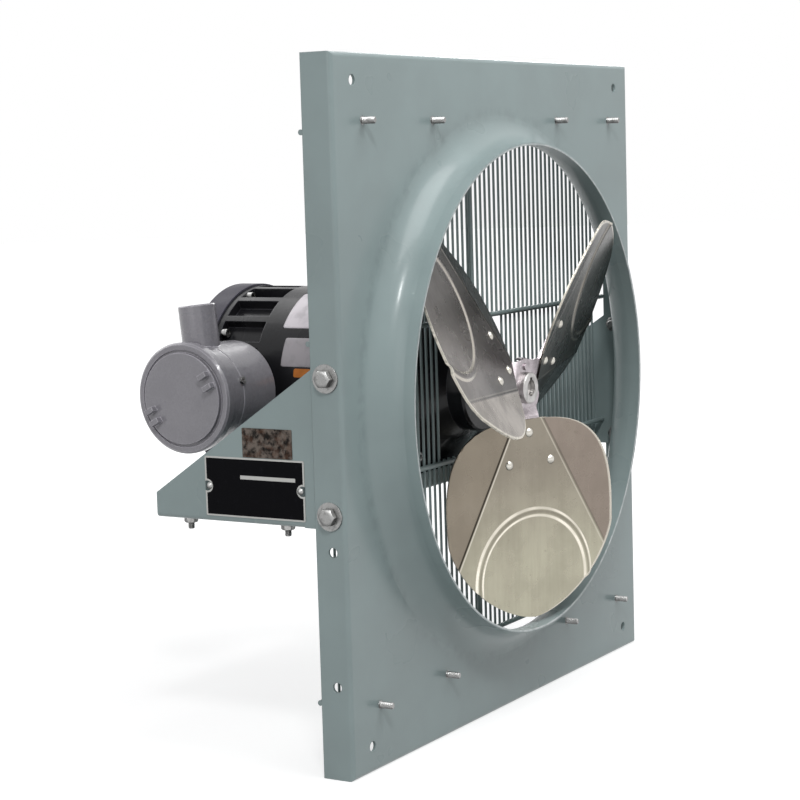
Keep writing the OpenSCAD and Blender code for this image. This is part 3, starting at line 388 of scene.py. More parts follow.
def panel_enamel(colours):
    """The panel's enamel, with a painted highlight of brighter metal along the ring's lip and darker patches
    in its foot.
    """
    base = tuple(colours.enamel)
    f, paint = sprayed("panel_enamel", base, orange_peel=0.05, edge=1.2)
    x, y, z = (f.axis(letter) for letter in "XYZ")
    radius = (x * x + z * z) ** 0.5
    scuffs = f.noise(7, 3.0).ramp(0.42, 0.62)
    # A painted highlight along the lip's front edge, broken up by scuffs
    lip_highlight = y.ramp(LIP_FRONT + 0.5, LIP_FRONT) * radius.ramp(LIP_RADIUS, LIP_RADIUS - 1.2)
    # The ring's foot, painted darker in patches
    foot = radius.ramp(FOOT_INNER, FOOT_INNER + 6) * radius.ramp(FOOT_OUTER, FOOT_OUTER - 10) * y.ramp(-8, -1)
    foot_darkening = foot * f.noise(14, 3.0).ramp(0.40, 0.65)
    paint = f.blend(foot_darkening * 0.25, paint, tint(base, 0.62))
    f.feed("Base Color", f.blend(lip_highlight * (0.55 + scuffs * 0.45), paint, tuple(colours.lip_highlight)))
    return f


def cast_enamel(name, base, grain, depth, roughness, edge, gloss=0.5, wear=1.6, coat=0.0):
    """Enamel over sand-cast metal: pebbled, darker in its hollows and paler on its edges by the wear."""
    f = Finish(name, base, roughness, Specular_IOR_Level=gloss, Coat_Weight=coat, Coat_Roughness=0.1)
    pebbles = f.noise(grain, 3.0, 0.6)
    broad = f.noise(grain * 9, 2.0)
    skin = f.blend(pebbles.ramp(0.30, 0.65), tint(base, 0.92), tint(base, 1.05))
    skin = f.blend(broad.ramp(0.35, 0.7) * 0.35, skin, tint(base, 0.82))
    f.feed("Base Color", f.blend(f.worn_edge(edge) * (0.4 + pebbles * 0.6), skin, tint(base, wear)))
    f.feed("Roughness", roughness - 0.05 + broad.ramp(0.3, 0.7) * 0.12)
    f.bump(pebbles + broad * 0.6, depth, f.rounded(edge))
    return f


# Painted reflections of each blade, as shares of the sheet's colour, different on each: at the root, at the
# tip, on the trailing and on the leading wing. Then come the depth of its clouds of painted mottled
# reflection, the brightness of the painted highlights on its bead and creases, and how metallic it is.
ReflectionTone = namedtuple("ReflectionTone", "root tip rear front clouds crest metal")
BLADE_REFLECTION_TONES = (
    ReflectionTone((0.68, 0.65, 0.61), (1.06, 1.08, 0.97), (0.64, 0.59, 0.54), (0.64, 0.57, 0.56), 0.10, 1.0, 1.0),
    ReflectionTone((0.11, 0.11, 0.11), (0.13, 0.13, 0.13), (0.08, 0.08, 0.09), (0.15, 0.14, 0.15), 0.20, 0.2, 1.0),
    ReflectionTone((0.20, 0.19, 0.21), (0.70, 0.69, 0.76), (0.20, 0.19, 0.21), (1.05, 1.02, 1.06), 0.18, 0.5, 0.75),
)


def toned(base, share):
    """A colour with each channel taken to its own share."""
    return tuple(c * k for c, k in zip(base, share))


def outline(sizes, x, v):
    """Distance across the chord from a point of a blade to its edge, by the formula of blade_surface."""
    widest = sizes.swept / 2 - sizes.tip_half
    halves = []
    for power, reach in ((TIP_POWER, sizes.tip_half), (ROOT_POWER, sizes.root - widest)):
        share = ((v - widest) / reach).most(0.0).least(1.0)
        halves.append((1 - share**power) ** (1 / power) * (sizes.chord / 2))
    return halves[0].least(halves[1]) - abs(x)


def reflection_fields(f, base, tone, x, v, past):
    """The broad painted reflections of a blade: its middle from root to tip, and its two wings past the
    creases.
    """
    middle = f.blend(v.ramp(60, 190), toned(base, tone.root), toned(base, tone.tip))
    wings = f.blend(x.ramp(1, -1), toned(base, tone.front), toned(base, tone.rear))
    return f.blend(past.ramp(-0.6, 0.6), middle, wings)


def crease_shade_and_highlight(f, shade, base, tone, x, past):
    """Painted shade on each crease and a painted highlight inside it, both stronger at the trailing wing."""
    rearward = x.ramp(1, -1)
    # A painted highlight inside each crease and painted shade on it
    bright = abs(past + 2.4).ramp(1.1, 0.2) * (0.35 + rearward * 0.35)
    crease_shade = abs(past).ramp(1.5, 0.5) * (0.35 + rearward * 0.6)
    shade = f.blend(bright * tone.crest, shade, tint(base, 1.7))
    return f.blend(crease_shade, shade, toned(base, tint(tone.rear, 0.12)))


def bead_distance(sizes, x, v):
    """Distance from the line of the bead: an arch round its centre, with straight legs out from there."""
    inner = v - BEAD_CENTRE
    arched = v.ramp(BEAD_CENTRE + 0.1, BEAD_CENTRE - 0.1)
    return abs((x * x + inner * inner) ** 0.5 * arched + abs(x) * (1 - arched) - sizes.bead)


def blade_painted_reflections(colours, sizes, number):
    """Polished sheet of one blade, in its own flat coordinates: x along the chord, v out from the axis.

    Its broad tones are painted reflections, its own on each blade, and haze and mottle add painted mottled
    reflection. The creases lie where blade_surface folds them, each with painted shade on it and a painted
    highlight inside it, and the bead is two painted highlights round a line of painted shade. Soft rolling
    marks and handling marks lie over the tones, and a painted highlight runs along the leading edge.
    """
    base = tuple(colours.blade)
    tone = BLADE_REFLECTION_TONES[number]
    f = Finish(f"blade_painted_reflections_{number + 1}", base, 0.26, 1.0)
    unturn = (0, sizes.turn + math.radians(BLADE_STEP * number), sizes.pitch)
    flat = f.moved(centre=(0, -sizes.forward * MM, 0), angles=unturn)
    x, v = f.axis("X", flat), f.axis("Z", flat) * -1
    past = (abs(x) - CREASE_HALF - (v - CREASE_FROM) * CREASE_SLOPE) * math.cos(CREASE_ANGLE)
    haze = f.noise(46, 3.0, 0.55)
    mottle = f.noise(24, 2.0, 0.4, f.moved(angles=unturn, scale=(1, 1, 0.45)))
    rolling = f.noise(5, 4.0, 0.65, f.moved(angles=unturn, scale=(1, 1, 0.05)))
    marks = f.noise(9, 5.0, 0.7).ramp(0.60, 0.74)
    # The haze and mottle veils, scaled by the blade's clouds, are painted mottled reflection; the rolling and
    # handling marks are the sheet's own
    veils = (
        (haze.ramp(0.35, 0.68) * (2 * tone.clouds), tone.rear, 0.62),
        (mottle.ramp(0.56, 0.62) * tone.clouds, tone.root, 1.25),
        (rolling.ramp(0.35, 0.7) * 0.16, tone.rear, 0.8),
        (marks * 0.22, tone.rear, 0.55),
    )
    shade = reflection_fields(f, base, tone, x, v, past)
    for veil, share, factor in veils:
        shade = f.blend(veil, shade, toned(base, tint(share, factor)))
    shade = crease_shade_and_highlight(f, shade, base, tone, x, past)
    off = bead_distance(sizes, x, v)
    # The bead: painted shade along its middle and a painted highlight on either side of it
    bead_highlight_offset = 3.6
    bead_highlight = abs(off - bead_highlight_offset).ramp(1.9, 0.7) * (0.55 + haze.ramp(0.35, 0.6) * 0.45) * tone.crest
    shade = f.blend(off.ramp(1.6, 0.4) * 0.35, shade, toned(base, tint(tone.rear, 0.40)))
    shade = f.blend(bead_highlight, shade, tint(base, 2.3))
    # A painted highlight along the leading edge, which is made less metallic there
    rim = outline(sizes, x, v).ramp(3.6, 1.6) * x.ramp(0, 25) * 0.8
    f.feed("Base Color", f.blend(rim, shade, tint(base, 2.1)))
    f.feed("Metallic", tone.metal - rim * (0.9 * tone.metal))
    f.feed("Roughness", 0.22 + haze.ramp(0.3, 0.75) * 0.12 + marks * 0.10 - bead_highlight * 0.08)
    f.bump(f.noise(60, 1.0) * 6.0 + rolling * 0.12, 0.12)
    return f


def bright_metal(name, base, roughness=0.24, low=0.30):
    """Polished metal with painted light: brighter where it faces up to the left, painted shade below, darker
    in its stains.
    """
    f = Finish(name, base, roughness, 1.0)
    # Painted light and shade by how the surface faces up to the left
    lit = f.facing((-0.55, -0.55, 0.65)).ramp(-0.35, 0.95)
    stains = f.noise(7, 4.0, 0.6)
    shade = f.blend(lit, tint(base, low), tint(base, 1.25))
    f.feed("Base Color", f.blend(stains.ramp(0.45, 0.75) * 0.4, shade, tint(base, low)))
    f.feed("Roughness", roughness + stains.ramp(0.3, 0.7) * 0.14)
    f.bump(f.noise(2.2, 3.0), 0.02, f.rounded(0.5))
    return f


def turned_steel(name, base, roughness=0.3, ring_pitch=0.5):
    """Turned steel: fine rings round the shaft and a little staining."""
    f = Finish(name, base, roughness, 1.0)
    x, z = f.axis("X"), f.axis("Z")
    radius = (x * x + z * z) ** 0.5
    rings = ((radius + f.axis("Y")) * (2 * math.pi / ring_pitch)).sin()
    stains = f.noise(8, 3.0)
    f.feed("Base Color", f.blend(stains.ramp(0.4, 0.7), base, tint(base, 0.72)))
    f.feed("Roughness", roughness + stains.ramp(0.3, 0.7) * 0.15)
    f.bump(rings, 0.01, f.rounded(0.4))
    return f


def zinc_plate(colours):
    """Bright zinc plate: a faint crystalline mottle, a painted highlight above and painted shade below,
    duller in patches.
    """
    base = tuple(colours.zinc)
    f = Finish("zinc_plate", base, 0.3, 1.0)
    crystals = f.cells(1.3)
    patches = f.noise(5, 3.0)
    # Painted highlight on faces turned up and painted shade on those turned down
    lit = f.facing((-0.35, -0.45, 0.8)).ramp(-0.1, 0.95)
    shade = f.blend(lit, tint(base, 0.16), tint(base, 0.80))
    shade = f.blend(crystals.ramp(0.2, 0.8) * 0.15, shade, tint(base, 0.3))
    f.feed("Base Color", f.blend(patches.ramp(0.5, 0.75) * 0.5, shade, tint(base, 0.12)))
    f.feed("Roughness", 0.24 + patches.ramp(0.35, 0.7) * 0.20)
    f.bump(patches, 0.05, f.rounded(0.35))
    return f


def laminations(colours):
    """Stacked steel sheets: fine lines across the shaft."""
    base = tint(tuple(colours.steel), 0.55)
    sheet = 0.6
    f = Finish("laminations", base, 0.45, 1.0)
    lines = (f.axis("Y") * (2 * math.pi / sheet)).sin()
    f.feed("Base Color", f.blend(lines.ramp(-0.2, 0.9), tint(base, 0.6), base))
    f.feed("Roughness", 0.4 + f.noise(10).ramp(0.3, 0.7) * 0.2)
    f.bump(lines, 0.08)
    return f


def varnished_wire(colours):
    """Varnished copper windings: strands that run round the shaft."""
    base = tuple(colours.copper)
    f = Finish("varnished_wire", base, 0.3, 0.35, Coat_Weight=0.6, Coat_Roughness=0.15)
    x, z = f.axis("X"), f.axis("Z")
    radius = (x * x + z * z) ** 0.5
    strand_pitch = 1.1
    wave = 2 * math.pi / strand_pitch
    strands = (radius * wave).sin() * (f.axis("Y") * wave).sin()
    f.feed("Base Color", f.blend(strands.ramp(-0.5, 0.8), tint(base, 0.45), base))
    f.bump(strands, 0.3)
    return f


def name_plate(colours):
    """Bare black plate on the left gusset: a pale border, a ring round each rivet, and a blank strip."""
    plate_y, plate_z, border_y, border_z = 96.0, -62.0, 51.9, 25.5
    rivet_y, ring_radius, rivet_radius = 51.5, 6.2, 4.6
    strip_y, strip_z, strip_half, strip_width = 81.5, -52.6, 29.5, 1.7
    ground = tuple(colours.plate)
    f = Finish("name_plate", ground, 0.45, 0.0, Specular_IOR_Level=0.03)
    y, z = f.axis("Y"), f.axis("Z")
    across, up = abs(y - plate_y), abs(z - plate_z)
    border = (across > border_y).most(up > border_z)
    from_rivet = ((across - rivet_y) * (across - rivet_y) + up * up) ** 0.5
    strip = (abs(y - strip_y) < strip_half) * (abs(z - strip_z) < strip_width)
    bright = border.most(from_rivet < ring_radius).most(strip)
    wear = f.noise(6, 4.0)
    black = f.blend(wear.ramp(0.55, 0.8), ground, tint(ground, 2.2))
    face = f.blend(bright, black, tuple(colours.border))
    # Painted shade: the gusset's enamel, darkened, in each rivet's hole
    gusset = tint(tuple(colours.enamel), 0.35)
    f.feed("Base Color", f.blend(from_rivet < rivet_radius, face, gusset))
    f.feed("Roughness", 0.42 + wear.ramp(0.3, 0.7) * 0.2)
    f.feed("Metallic", bright * 0.3)
    f.bump(bright, 0.12)
    return f


def etched_tag(colours):
    """Bare foil tag: mottled brown and silver."""
    base = tuple(colours.tag)
    f = Finish("etched_tag", base, 0.35, 0.3, Specular_IOR_Level=0.1)
    mottle = f.noise(5.5, 3.0, 0.6)
    rusty = f.noise(9, 2.0, 0.5).ramp(0.5, 0.7)
    tone = f.blend(mottle.ramp(0.34, 0.66), tint(base, 0.03), tint(base, 0.75))
    f.feed("Base Color", f.blend(rusty * 0.45, tone, toned(base, (0.45, 0.26, 0.18))))
    f.feed("Roughness", 0.34 + mottle.ramp(0.3, 0.7) * 0.25)
    f.bump(mottle, 0.08)
    return f


def paper_label(name, base):
    """A bare paper label, a little soiled."""
    f = Finish(name, base, 0.5)
    soil = f.noise(11, 4.0)
    f.feed("Base Color", f.blend(soil.ramp(0.45, 0.75), base, tint(base, 0.80)))
    f.feed("Roughness", 0.42 + soil.ramp(0.3, 0.7) * 0.2)
    f.bump(f.noise(1.2, 2.0), 0.03)
    return f


def studio_white(colours):
    """Plain pale floor with the faintest clouds, under what show_white adds to it."""
    base = tuple(colours.floor)
    f = Finish("studio_white", base, 0.9)
    f.feed("Base Color", f.blend(f.noise(900, 1.0).ramp(0.3, 0.7) * 0.02, base, tint(base, 0.97)))
    return f


# Meshes


def add_piece(name, points, faces, material, smooth_angle=35):
    """Makes an object of points in millimetres and faces, at the origin, smooth up to an angle in degrees."""
    mesh = bpy.data.meshes.new(name)
    mesh.from_pydata((np.asarray(points, float) * MM).tolist(), [], [list(face) for face in faces])
    mesh.validate()
    mesh.materials.append(material)
    mesh.shade_smooth()
    mesh.set_sharp_from_angle(angle=math.radians(smooth_angle))
    piece = bpy.data.objects.new(name, mesh)
    bpy.context.scene.collection.objects.link(piece)
    return piece


def grid_faces(rows, columns, closed=False):
    """Quads of a grid of rows by columns, stored row by row; closed joins the last column to the first."""
    r = np.arange(rows - 1)[:, None]
    c = np.arange(columns if closed else columns - 1)[None, :]
    n = (c + 1) % columns
    corners = [r * columns + c, r * columns + n, (r + 1) * columns + n, (r + 1) * columns + c]
    return np.stack(corners, -1).reshape(-1, 4)


def close_ends(points, rows, columns):
    """Faces of a closed tube of rings: the quads between rings, and a fan round each end's pole.

    The poles are the centres of the first and the last ring, added after the rings.
    """
    rings = points.reshape(rows, columns, 3)
    poles = np.stack([rings[0].mean(0), rings[-1].mean(0)])
    c = np.arange(columns)
    n = (c + 1) % columns
    last = (rows - 1) * columns
    first_pole = np.full(columns, rows * columns)
    fans = [np.stack([first_pole, n, c], -1), np.stack([first_pole + 1, last + c, last + n], -1)]
    quads = grid_faces(rows, columns, closed=True)
    return np.concatenate([points, poles]), quads.tolist() + np.concatenate(fans).tolist()


def turn(axis, degrees):
    """Matrix that turns points about an axis letter by an angle, as the CAD's rotate does."""
    return np.array(Matrix.Rotation(math.radians(degrees), 3, axis))


def at(points, matrix, place):
    """Points in millimetres turned by a matrix and moved to a place."""
    return points @ np.asarray(matrix).T + np.asarray(place, float)


def several(parts):
    """Joins (points, faces) pairs into one, each keeping its own faces."""
    starts = np.cumsum([0] + [len(points) for points, _ in parts[:-1]])
    faces = [[i + start for i in face] for start, (_, part) in zip(starts, parts) for face in part]
    return np.concatenate([points for points, _ in parts]), faces


# Blades


def easing(distance, reach):
    """How far a fold has gone at a distance past its line.

    It is zero more than reach before the line, the distance itself more than reach past it, and between them
    the parabola (distance + reach)^2 / (4 reach).
    """
    parabola = np.clip(distance + reach, 0, None) ** 2 / (4 * reach)
    return np.where(distance > reach, distance, parabola)


def blade_surface(s):
    """The middle surface of a blade in its own plane: x along the chord, y back, -z outward, in millimetres.

    The half width at a height n, counted from the widest place in shares of that half's length, is
    chord / 2 * (1 - n^p)^(1/p), with one power p towards the tip and one towards the root. Each row of the
    grid runs across that width in five spans, so that grid lines follow the two creases. The wings turn about
    the creases, which have a shallow groove, and the bead is a bump (1 - u^2)^2 across the line of its arch.
    """
    band_half, fold_reach, groove_depth, groove_width, bead_half = 2.4, 1.5, 0.30, 1.1, 4.6
    crease_limit = 0.94
    outer_steps, band_steps, middle_steps = 26, 8, 58
    widest = s.swept / 2 - s.tip_half
    share = np.sin(np.linspace(0, np.pi / 2, s.rows // 2))
    parts = []
    for power, reach in ((ROOT_POWER, s.root - widest), (TIP_POWER, s.tip_half)):
        parts.append((widest + reach * share, s.chord / 2 * np.clip(1 - share**power, 0, 1) ** (1 / power)))
    (v0, w0), (v1, w1) = parts
    v = np.concatenate([v0[::-1], v1[1:]])[:, None]
    w = np.concatenate([w0[::-1], w1[1:]])[:, None]
    crease = CREASE_HALF + CREASE_SLOPE * (v - CREASE_FROM)
    c = np.minimum(crease, crease_limit * w)
    b = np.minimum(band_half, np.minimum((w - c) / 2, c / 2))
    ends = (-w, -c - b, -c + b, c - b, c + b, w)
    steps = (outer_steps, band_steps, middle_steps, band_steps, outer_steps)
    spans = [
        low + (high - low) * np.linspace(0, 1, count + 1)[None, :-1]
        for low, high, count in zip(ends, ends[1:], steps)
    ]
    x = np.concatenate(spans + [w], 1)
    past = (np.abs(x) - crease) * math.cos(CREASE_ANGLE)
    bent = easing(past, fold_reach)
    angle = np.where(x < 0, s.rear_wing, -s.front_wing)
    y = np.sin(angle) * bent - groove_depth * np.exp(-((past / groove_width) ** 2))
    arch = np.where(v < BEAD_CENTRE, np.hypot(x, v - BEAD_CENTRE), np.abs(x))
    u = np.clip(np.abs(arch - s.bead) / bead_half, 0, 1)
    y = y - s.bead_height * (1 - u * u) ** 2
    lost = (1 - np.cos(angle)) * bent
    across = x - np.sign(x) * lost * math.cos(CREASE_ANGLE)
    out = v + lost * math.sin(CREASE_ANGLE)
    return np.stack([across, y, -out], -1), x.shape


def blade_mesh(s, number):
    """A blade turned to its pitch and to its place round the shaft."""
    points, shape = blade_surface(s)
    points = at(points.reshape(-1, 3), turn("Z", -math.degrees(s.pitch)), (0, -s.forward, 0))
    points = points @ turn("Y", -math.degrees(s.turn) - BLADE_STEP * number).T
    return points, grid_faces(*shape)


# Turned pieces


def hexagon(angle, across):
    """Radius of a hexagon at an angle: half its width over the cosine of the angle from its nearest flat."""
    return across / 2 / np.cos(angle % (np.pi / 3) - np.pi / 6)


def thread_wave(height, angle, pitch):
    """0 at a thread's crest and 1 at its root: a triangle wave that climbs one pitch a turn."""
    return np.abs(2 * ((height / pitch - angle / (2 * np.pi)) % 1) - 1)


def turned(profile, columns, across=0.0, pitch=0.0, depth=0.0, closed=False):
    """A surface of revolution along Z, in millimetres, from rows of (height, radius, kind).

    kind "hex" cuts the row back to a hexagon of width across, and kind "thread" takes depth times the
    thread's wave off its radius. A closed profile is a ring round a bore; an open one has a pole at each end.
    """
    height = np.array([row[0] for row in profile], float)[:, None]
    radius = np.array([row[1] for row in profile], float)[:, None]
    kind = np.array([row[2] for row in profile])[:, None]
    angle = np.linspace(0, 2 * np.pi, columns, endpoint=False)[None, :]
    r = np.where(kind == "hex", np.minimum(radius, hexagon(angle, across or 1)), radius)
    if pitch:
        r = np.where(kind == "thread", r - depth * thread_wave(height, angle, pitch), r)
    points = np.stack(np.broadcast_arrays(r * np.cos(angle), r * np.sin(angle), height), -1).reshape(-1, 3)
    rows = len(profile)
    if not closed:
        return close_ends(points, rows, columns)
    ring = grid_faces(rows, columns, closed=True).tolist()
    c = np.arange(columns)
    n = (c + 1) % columns
    last = (rows - 1) * columns
    return points, ring + np.stack([last + c, last + n, n, c], -1).tolist()


def threaded(low, high, radius, pitch):
    """Rows of a threaded length, six to a pitch, from low up to high."""
    count = max(2, int(abs(high - low) / pitch * 6))
    return [(z, radius, "thread") for z in np.linspace(low, high, count)]


def bolt(shank, head, across, length, pitch, seat=0.0):
    """A hex bolt along Z whose head stands on z = seat and whose shank, of radius shank, ends at -length.

    The head stands on a round washer face, and its top is chamfered by a cone, so that each flat ends in an
    arc. The thread is rolled a tenth shallower than its full depth.
    """
    top, corner = seat + head, across / 2 / math.cos(math.pi / 6)
    washer_face, crown = across * 0.475, across * 0.46
    chamfer, steps = 1.15, 5
    cut_to = -length + THREAD_LENGTH
    rows = [(-length, shank - 1.0, "round"), (-length + 0.7, shank - 0.25, "round")]
    rows += threaded(-length + 0.8, cut_to, shank, pitch)
    rows += [(cut_to + 0.5, shank, "round"), (seat, shank, "round"), (seat, across * 0.47, "round")]
    rows += [(seat + 0.4, washer_face, "round"), (seat + 0.4, corner, "hex")]
    for i in range(steps + 1):
        cone = corner - (corner - crown) * (i / steps) ** 1.2
        rows.append((top - chamfer * (1 - i / steps), cone, "hex"))
    rows.append((top - 0.02, across * 0.30, "round"))
    return turned(rows, 72, across, pitch, THREAD_DEPTH * pitch * 0.9)


def nut(bore, across, height):
    """A hex nut along Z from z = -height to 0, chamfered on both faces."""
    corner = across / 2 / math.cos(math.pi / 6)
    edge = across * 0.47
    rise = [(0.0, edge), (0.45, (edge + corner) / 2 + 0.15), (1.1, corner)]
    rows = [(-height + d, r, "hex") for d, r in rise] + [(-d, r, "hex") for d, r in reversed(rise)]
    rows += [(0.0, bore + 0.5, "round"), (-0.5, bore, "round"), (-height + 0.5, bore, "round")]
    rows += [(-height, bore + 0.5, "round")]
    return turned(rows, 72, across, closed=True)


def stud(s):
    """A clinch stud along Z: a chamfered tip, its thread, a neck in the sheet and a round head behind it."""
    r, tip = s.stud / 2, s.stud_length
    neck, head = r + 0.6, r + 1.8
    rows = [(-4.0, head - 0.3, "round"), (-3.7, head, "round"), (-2.6, head, "round"), (-2.5, neck, "round")]
    rows += [(0.0, neck, "round"), (0.02, r, "round"), (0.5, r, "round")]
    rows += threaded(0.6, tip - 0.8, r, s.stud_pitch)
    rows += [(tip - 0.5, r - 0.45, "round"), (tip, r - 1.0, "round")]
    return turned(rows, 32, 0, s.stud_pitch, THREAD_DEPTH * s.stud_pitch)


def upright(part, half, stations, height):
    """Copies of an upright part on either side at each station along the shaft."""
    points, faces = part
    return [(points + (side * half, y, height), faces) for side in (-1, 1) for y in stations]


def on_rims(part, half):
    """Copies of a part whose head or face looks out from the rims, at a half width."""
    points, faces = part
    copies = []
    for side in (-1, 1):
        outward = turn("Y", 90 * side) @ turn("Z", 30)
        copies += [(at(points, outward, (half * side, RIM_STATION, z)), faces) for z in RIM_HEIGHTS]
    return copies


def on_corners(part, x, z, y, matrix):
    """Copies of a part at the four corners of an upright rectangle."""
    points, faces = part
    return [(at(points, matrix, (sx * x, y, sz * z)), faces) for sx in (-1, 1) for sz in (-1, 1)]


def strip_on_barrel(radius, low, high, front, rear, corner):
    """A bare label on the motor's left side: a grid over angle and length, with rounded corners.

    The angle runs up from the side. A row's half length shrinks by r - sqrt(r^2 - d^2) within a corner.
    """
    rows, columns = 33, 25
    lift = np.radians(np.linspace(low, high, rows))[:, None]
    across = radius * (lift - lift.mean())
    half = (lift.max() - lift.min()) * radius / 2
    into = np.clip(np.abs(across) - (half - corner), 0, corner)
    inset = corner - np.sqrt(np.maximum(corner**2 - into**2, 0))
    along = np.linspace(-1, 1, columns)[None, :] * ((rear - front) / 2 - inset) + (front + rear) / 2
    strip = np.broadcast_arrays(-radius * np.cos(lift), along, radius * np.sin(lift))
    return np.stack(strip, -1).reshape(-1, 3), grid_faces(rows, columns)


# Operators, one to a piece or a group of like pieces


class FanOperator:
    """What the operators share: undo, and the way a CAD node gets its finish."""

    bl_options = {"REGISTER", "UNDO"}

    @staticmethod
    def dress(finish, *nodes):
        """Gives CAD nodes a finish."""
        for name in nodes:
            slots = NODES[name].data.materials
            slots.clear()
            slots.append(finish.material)


def finish_named(name):
    """A finish made earlier in this run."""
    found = bpy.data.materials.get(name)
    if found is None:
        raise RuntimeError(f"The finish {name} has not been made yet")
    return found


class FAN_OT_finishes(FanOperator, bpy.types.Operator):
    """Makes the fan's finishes and gives them to the CAD nodes that no other piece stands in for"""

    bl_idname = "fan.finishes"
    bl_label = "Finishes"

    def execute(self, context):
        c = context.scene.fan_colours
        self.painted(c)
        self.metal(c)
        self.dress(name_plate(c), "nameplate")
        self.dress(etched_tag(c), "approval_tag")
        return {"FINISHED"}

    def painted(self, c):
        """The sheet metal's enamel, the castings' enamel and the resin in the lead hole."""
        green = tuple(c.enamel)
        self.dress(panel_enamel(c), "venturi_panel")
        supports = enamel("support_enamel", green, orange_peel=0.05, edge=0.8)
        self.dress(supports, "gusset_left", "gusset_right", "motor_shelf")
        self.dress(enamel("guard_enamel", tint(green, 0.92), 0.03, 0.4), "guard_rods", "guard_wires")
        black = cast_enamel(
            "motor_black", tuple(c.motor), grain=3.5, depth=0.16, roughness=0.30, edge=1.4,
            gloss=0.2, wear=6.0, coat=0.15,
        )
        self.dress(black, "motor_frame", "front_end_bell")
        bell = cast_enamel(
            "bell_grey", tuple(c.bell), grain=3.0, depth=0.16, roughness=0.46, edge=1.4, gloss=0.15, wear=2.0
        )
        self.dress(bell, "rear_end_bell")
        box = cast_enamel(
            "box_grey", tuple(c.box), grain=2.2, depth=0.14, roughness=0.26, edge=1.6,
            gloss=0.5, wear=2.4, coat=0.4,
        )
        self.dress(box, "conduit_box", "conduit_box_cover")
        epoxy = cast_enamel("poured_epoxy", tuple(c.epoxy), grain=6, depth=0.05, roughness=0.35, edge=0.6)
        self.dress(epoxy, "lead_seal")

    def metal(self, c):
        """The polished, turned, plated, stacked and wound metal."""
        steel = tuple(c.steel)
        self.dress(bright_metal("polished_spider", tuple(c.spider)), "prop_spider", "spider_rivets")
        self.dress(bright_metal("polished_rivets", tuple(c.rivet), roughness=0.2, low=0.25), "blade_rivets")
        self.dress(turned_steel("turned_steel", steel), "prop_hub", "motor_shaft", "shaft_key")
        bearing = turned_steel("bearing_steel", tint(steel, 1.2), roughness=0.2, ring_pitch=1.0)
        self.dress(bearing, "front_bearing", "rear_bearing")
        self.dress(turned_steel("black_oxide", tuple(c.oxide), roughness=0.4), "hub_set_screws")
        screws = ("front_bell_screws", "rear_bell_screws", "ground_screw")
        self.dress(zinc_plate(c), "rim_washers", "nameplate_rivets", *screws)
        self.dress(laminations(c), "stator_core", "rotor_core")
        self.dress(varnished_wire(c), "stator_windings")


class FAN_OT_blades(FanOperator, bpy.types.Operator):
    """Makes the three blades as bent and beaded sheets in place of their CAD nodes"""

    bl_idname = "fan.blades"
    bl_label = "Blades"

    def execute(self, context):
        s = context.scene.fan_blades
        for number in range(3):
            points, faces = blade_mesh(s, number)
            finish = blade_painted_reflections(context.scene.fan_colours, s, number)
            piece = add_piece(f"blade_{number + 1}_sheet", points, faces, finish.material, 60)
            wall = piece.modifiers.new("wall", "SOLIDIFY")
            wall.thickness = s.thickness * MM
            wall.offset = 0
            edge = piece.modifiers.new("edge", "BEVEL")
            edge.width = 0.45 * MM
            edge.segments = 2
            edge.limit_method = "ANGLE"
            edge.angle_limit = math.radians(50)
            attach(piece, "propeller")
            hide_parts(f"blade_{number + 1}")
        return {"FINISHED"}


class FAN_OT_studs(FanOperator, bpy.types.Operator):
    """Makes the eight threaded shutter studs"""

    bl_idname = "fan.studs"
    bl_label = "Shutter studs"

    def execute(self, context):
        forward = turn("X", 90)
        part = stud(context.scene.fan_fasteners)
        parts = [p for x in STUD_HALVES for p in on_corners(part, x, STUD_HEIGHT, 0, forward)]
        piece = add_piece("shutter_studs_threaded", *several(parts), finish_named("zinc_plate"))
        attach(piece, "fan_frame")
        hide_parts("shutter_studs")
        return {"FINISHED"}


class FAN_OT_bolts(FanOperator, bpy.types.Operator):
    """Makes the hex bolts and nuts of the rims, the shelf and the motor's feet"""

    bl_idname = "fan.bolts"
    bl_label = "Bolts and nuts"

    def execute(self, context):
        s = context.scene.fan_fasteners
        rim_across, shelf_across, foot_across = 14.3, 11.1, 12.7
        rim = bolt(s.rim_bolt / 2, head=6.0, across=rim_across, length=18.2, pitch=s.rim_pitch, seat=1.6)
        rim_nut = nut(s.rim_bolt / 2 + THREAD_PLAY, rim_across, height=8.2)
        shelf = bolt(s.shelf_bolt / 2, head=4.2, across=shelf_across, length=16.9, pitch=s.shelf_pitch)
        shelf_nut = nut(s.shelf_bolt / 2 + THREAD_PLAY, shelf_across, height=5.6)
        foot = bolt(s.foot_bolt / 2, head=5.3, across=foot_across, length=20.4, pitch=s.foot_pitch)
        foot_nut = nut(s.foot_bolt / 2 + THREAD_PLAY, foot_across, height=6.7)
        rows = {
            "rim_bolts": on_rims(rim, RIM_FACE),
            "rim_nuts": on_rims(rim_nut, RIM_INSIDE),
            "shelf_bolts": upright(shelf, SHELF_HALF, SHELF_STATIONS, SHELF_TOP),
            "shelf_nuts": upright(shelf_nut, SHELF_HALF, SHELF_STATIONS, SHELF_UNDERSIDE),
            "foot_bolts": upright(foot, FOOT_HALF, FOOT_STATIONS, FOOT_TOP),
            "foot_nuts": upright(foot_nut, FOOT_HALF, FOOT_STATIONS, FOOT_UNDERSIDE),
        }
        for node, parts in rows.items():
            piece = add_piece(f"{node}_cut", *several(parts), finish_named("zinc_plate"))
            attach(piece, "fan_frame")
            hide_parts(node)
        return {"FINISHED"}


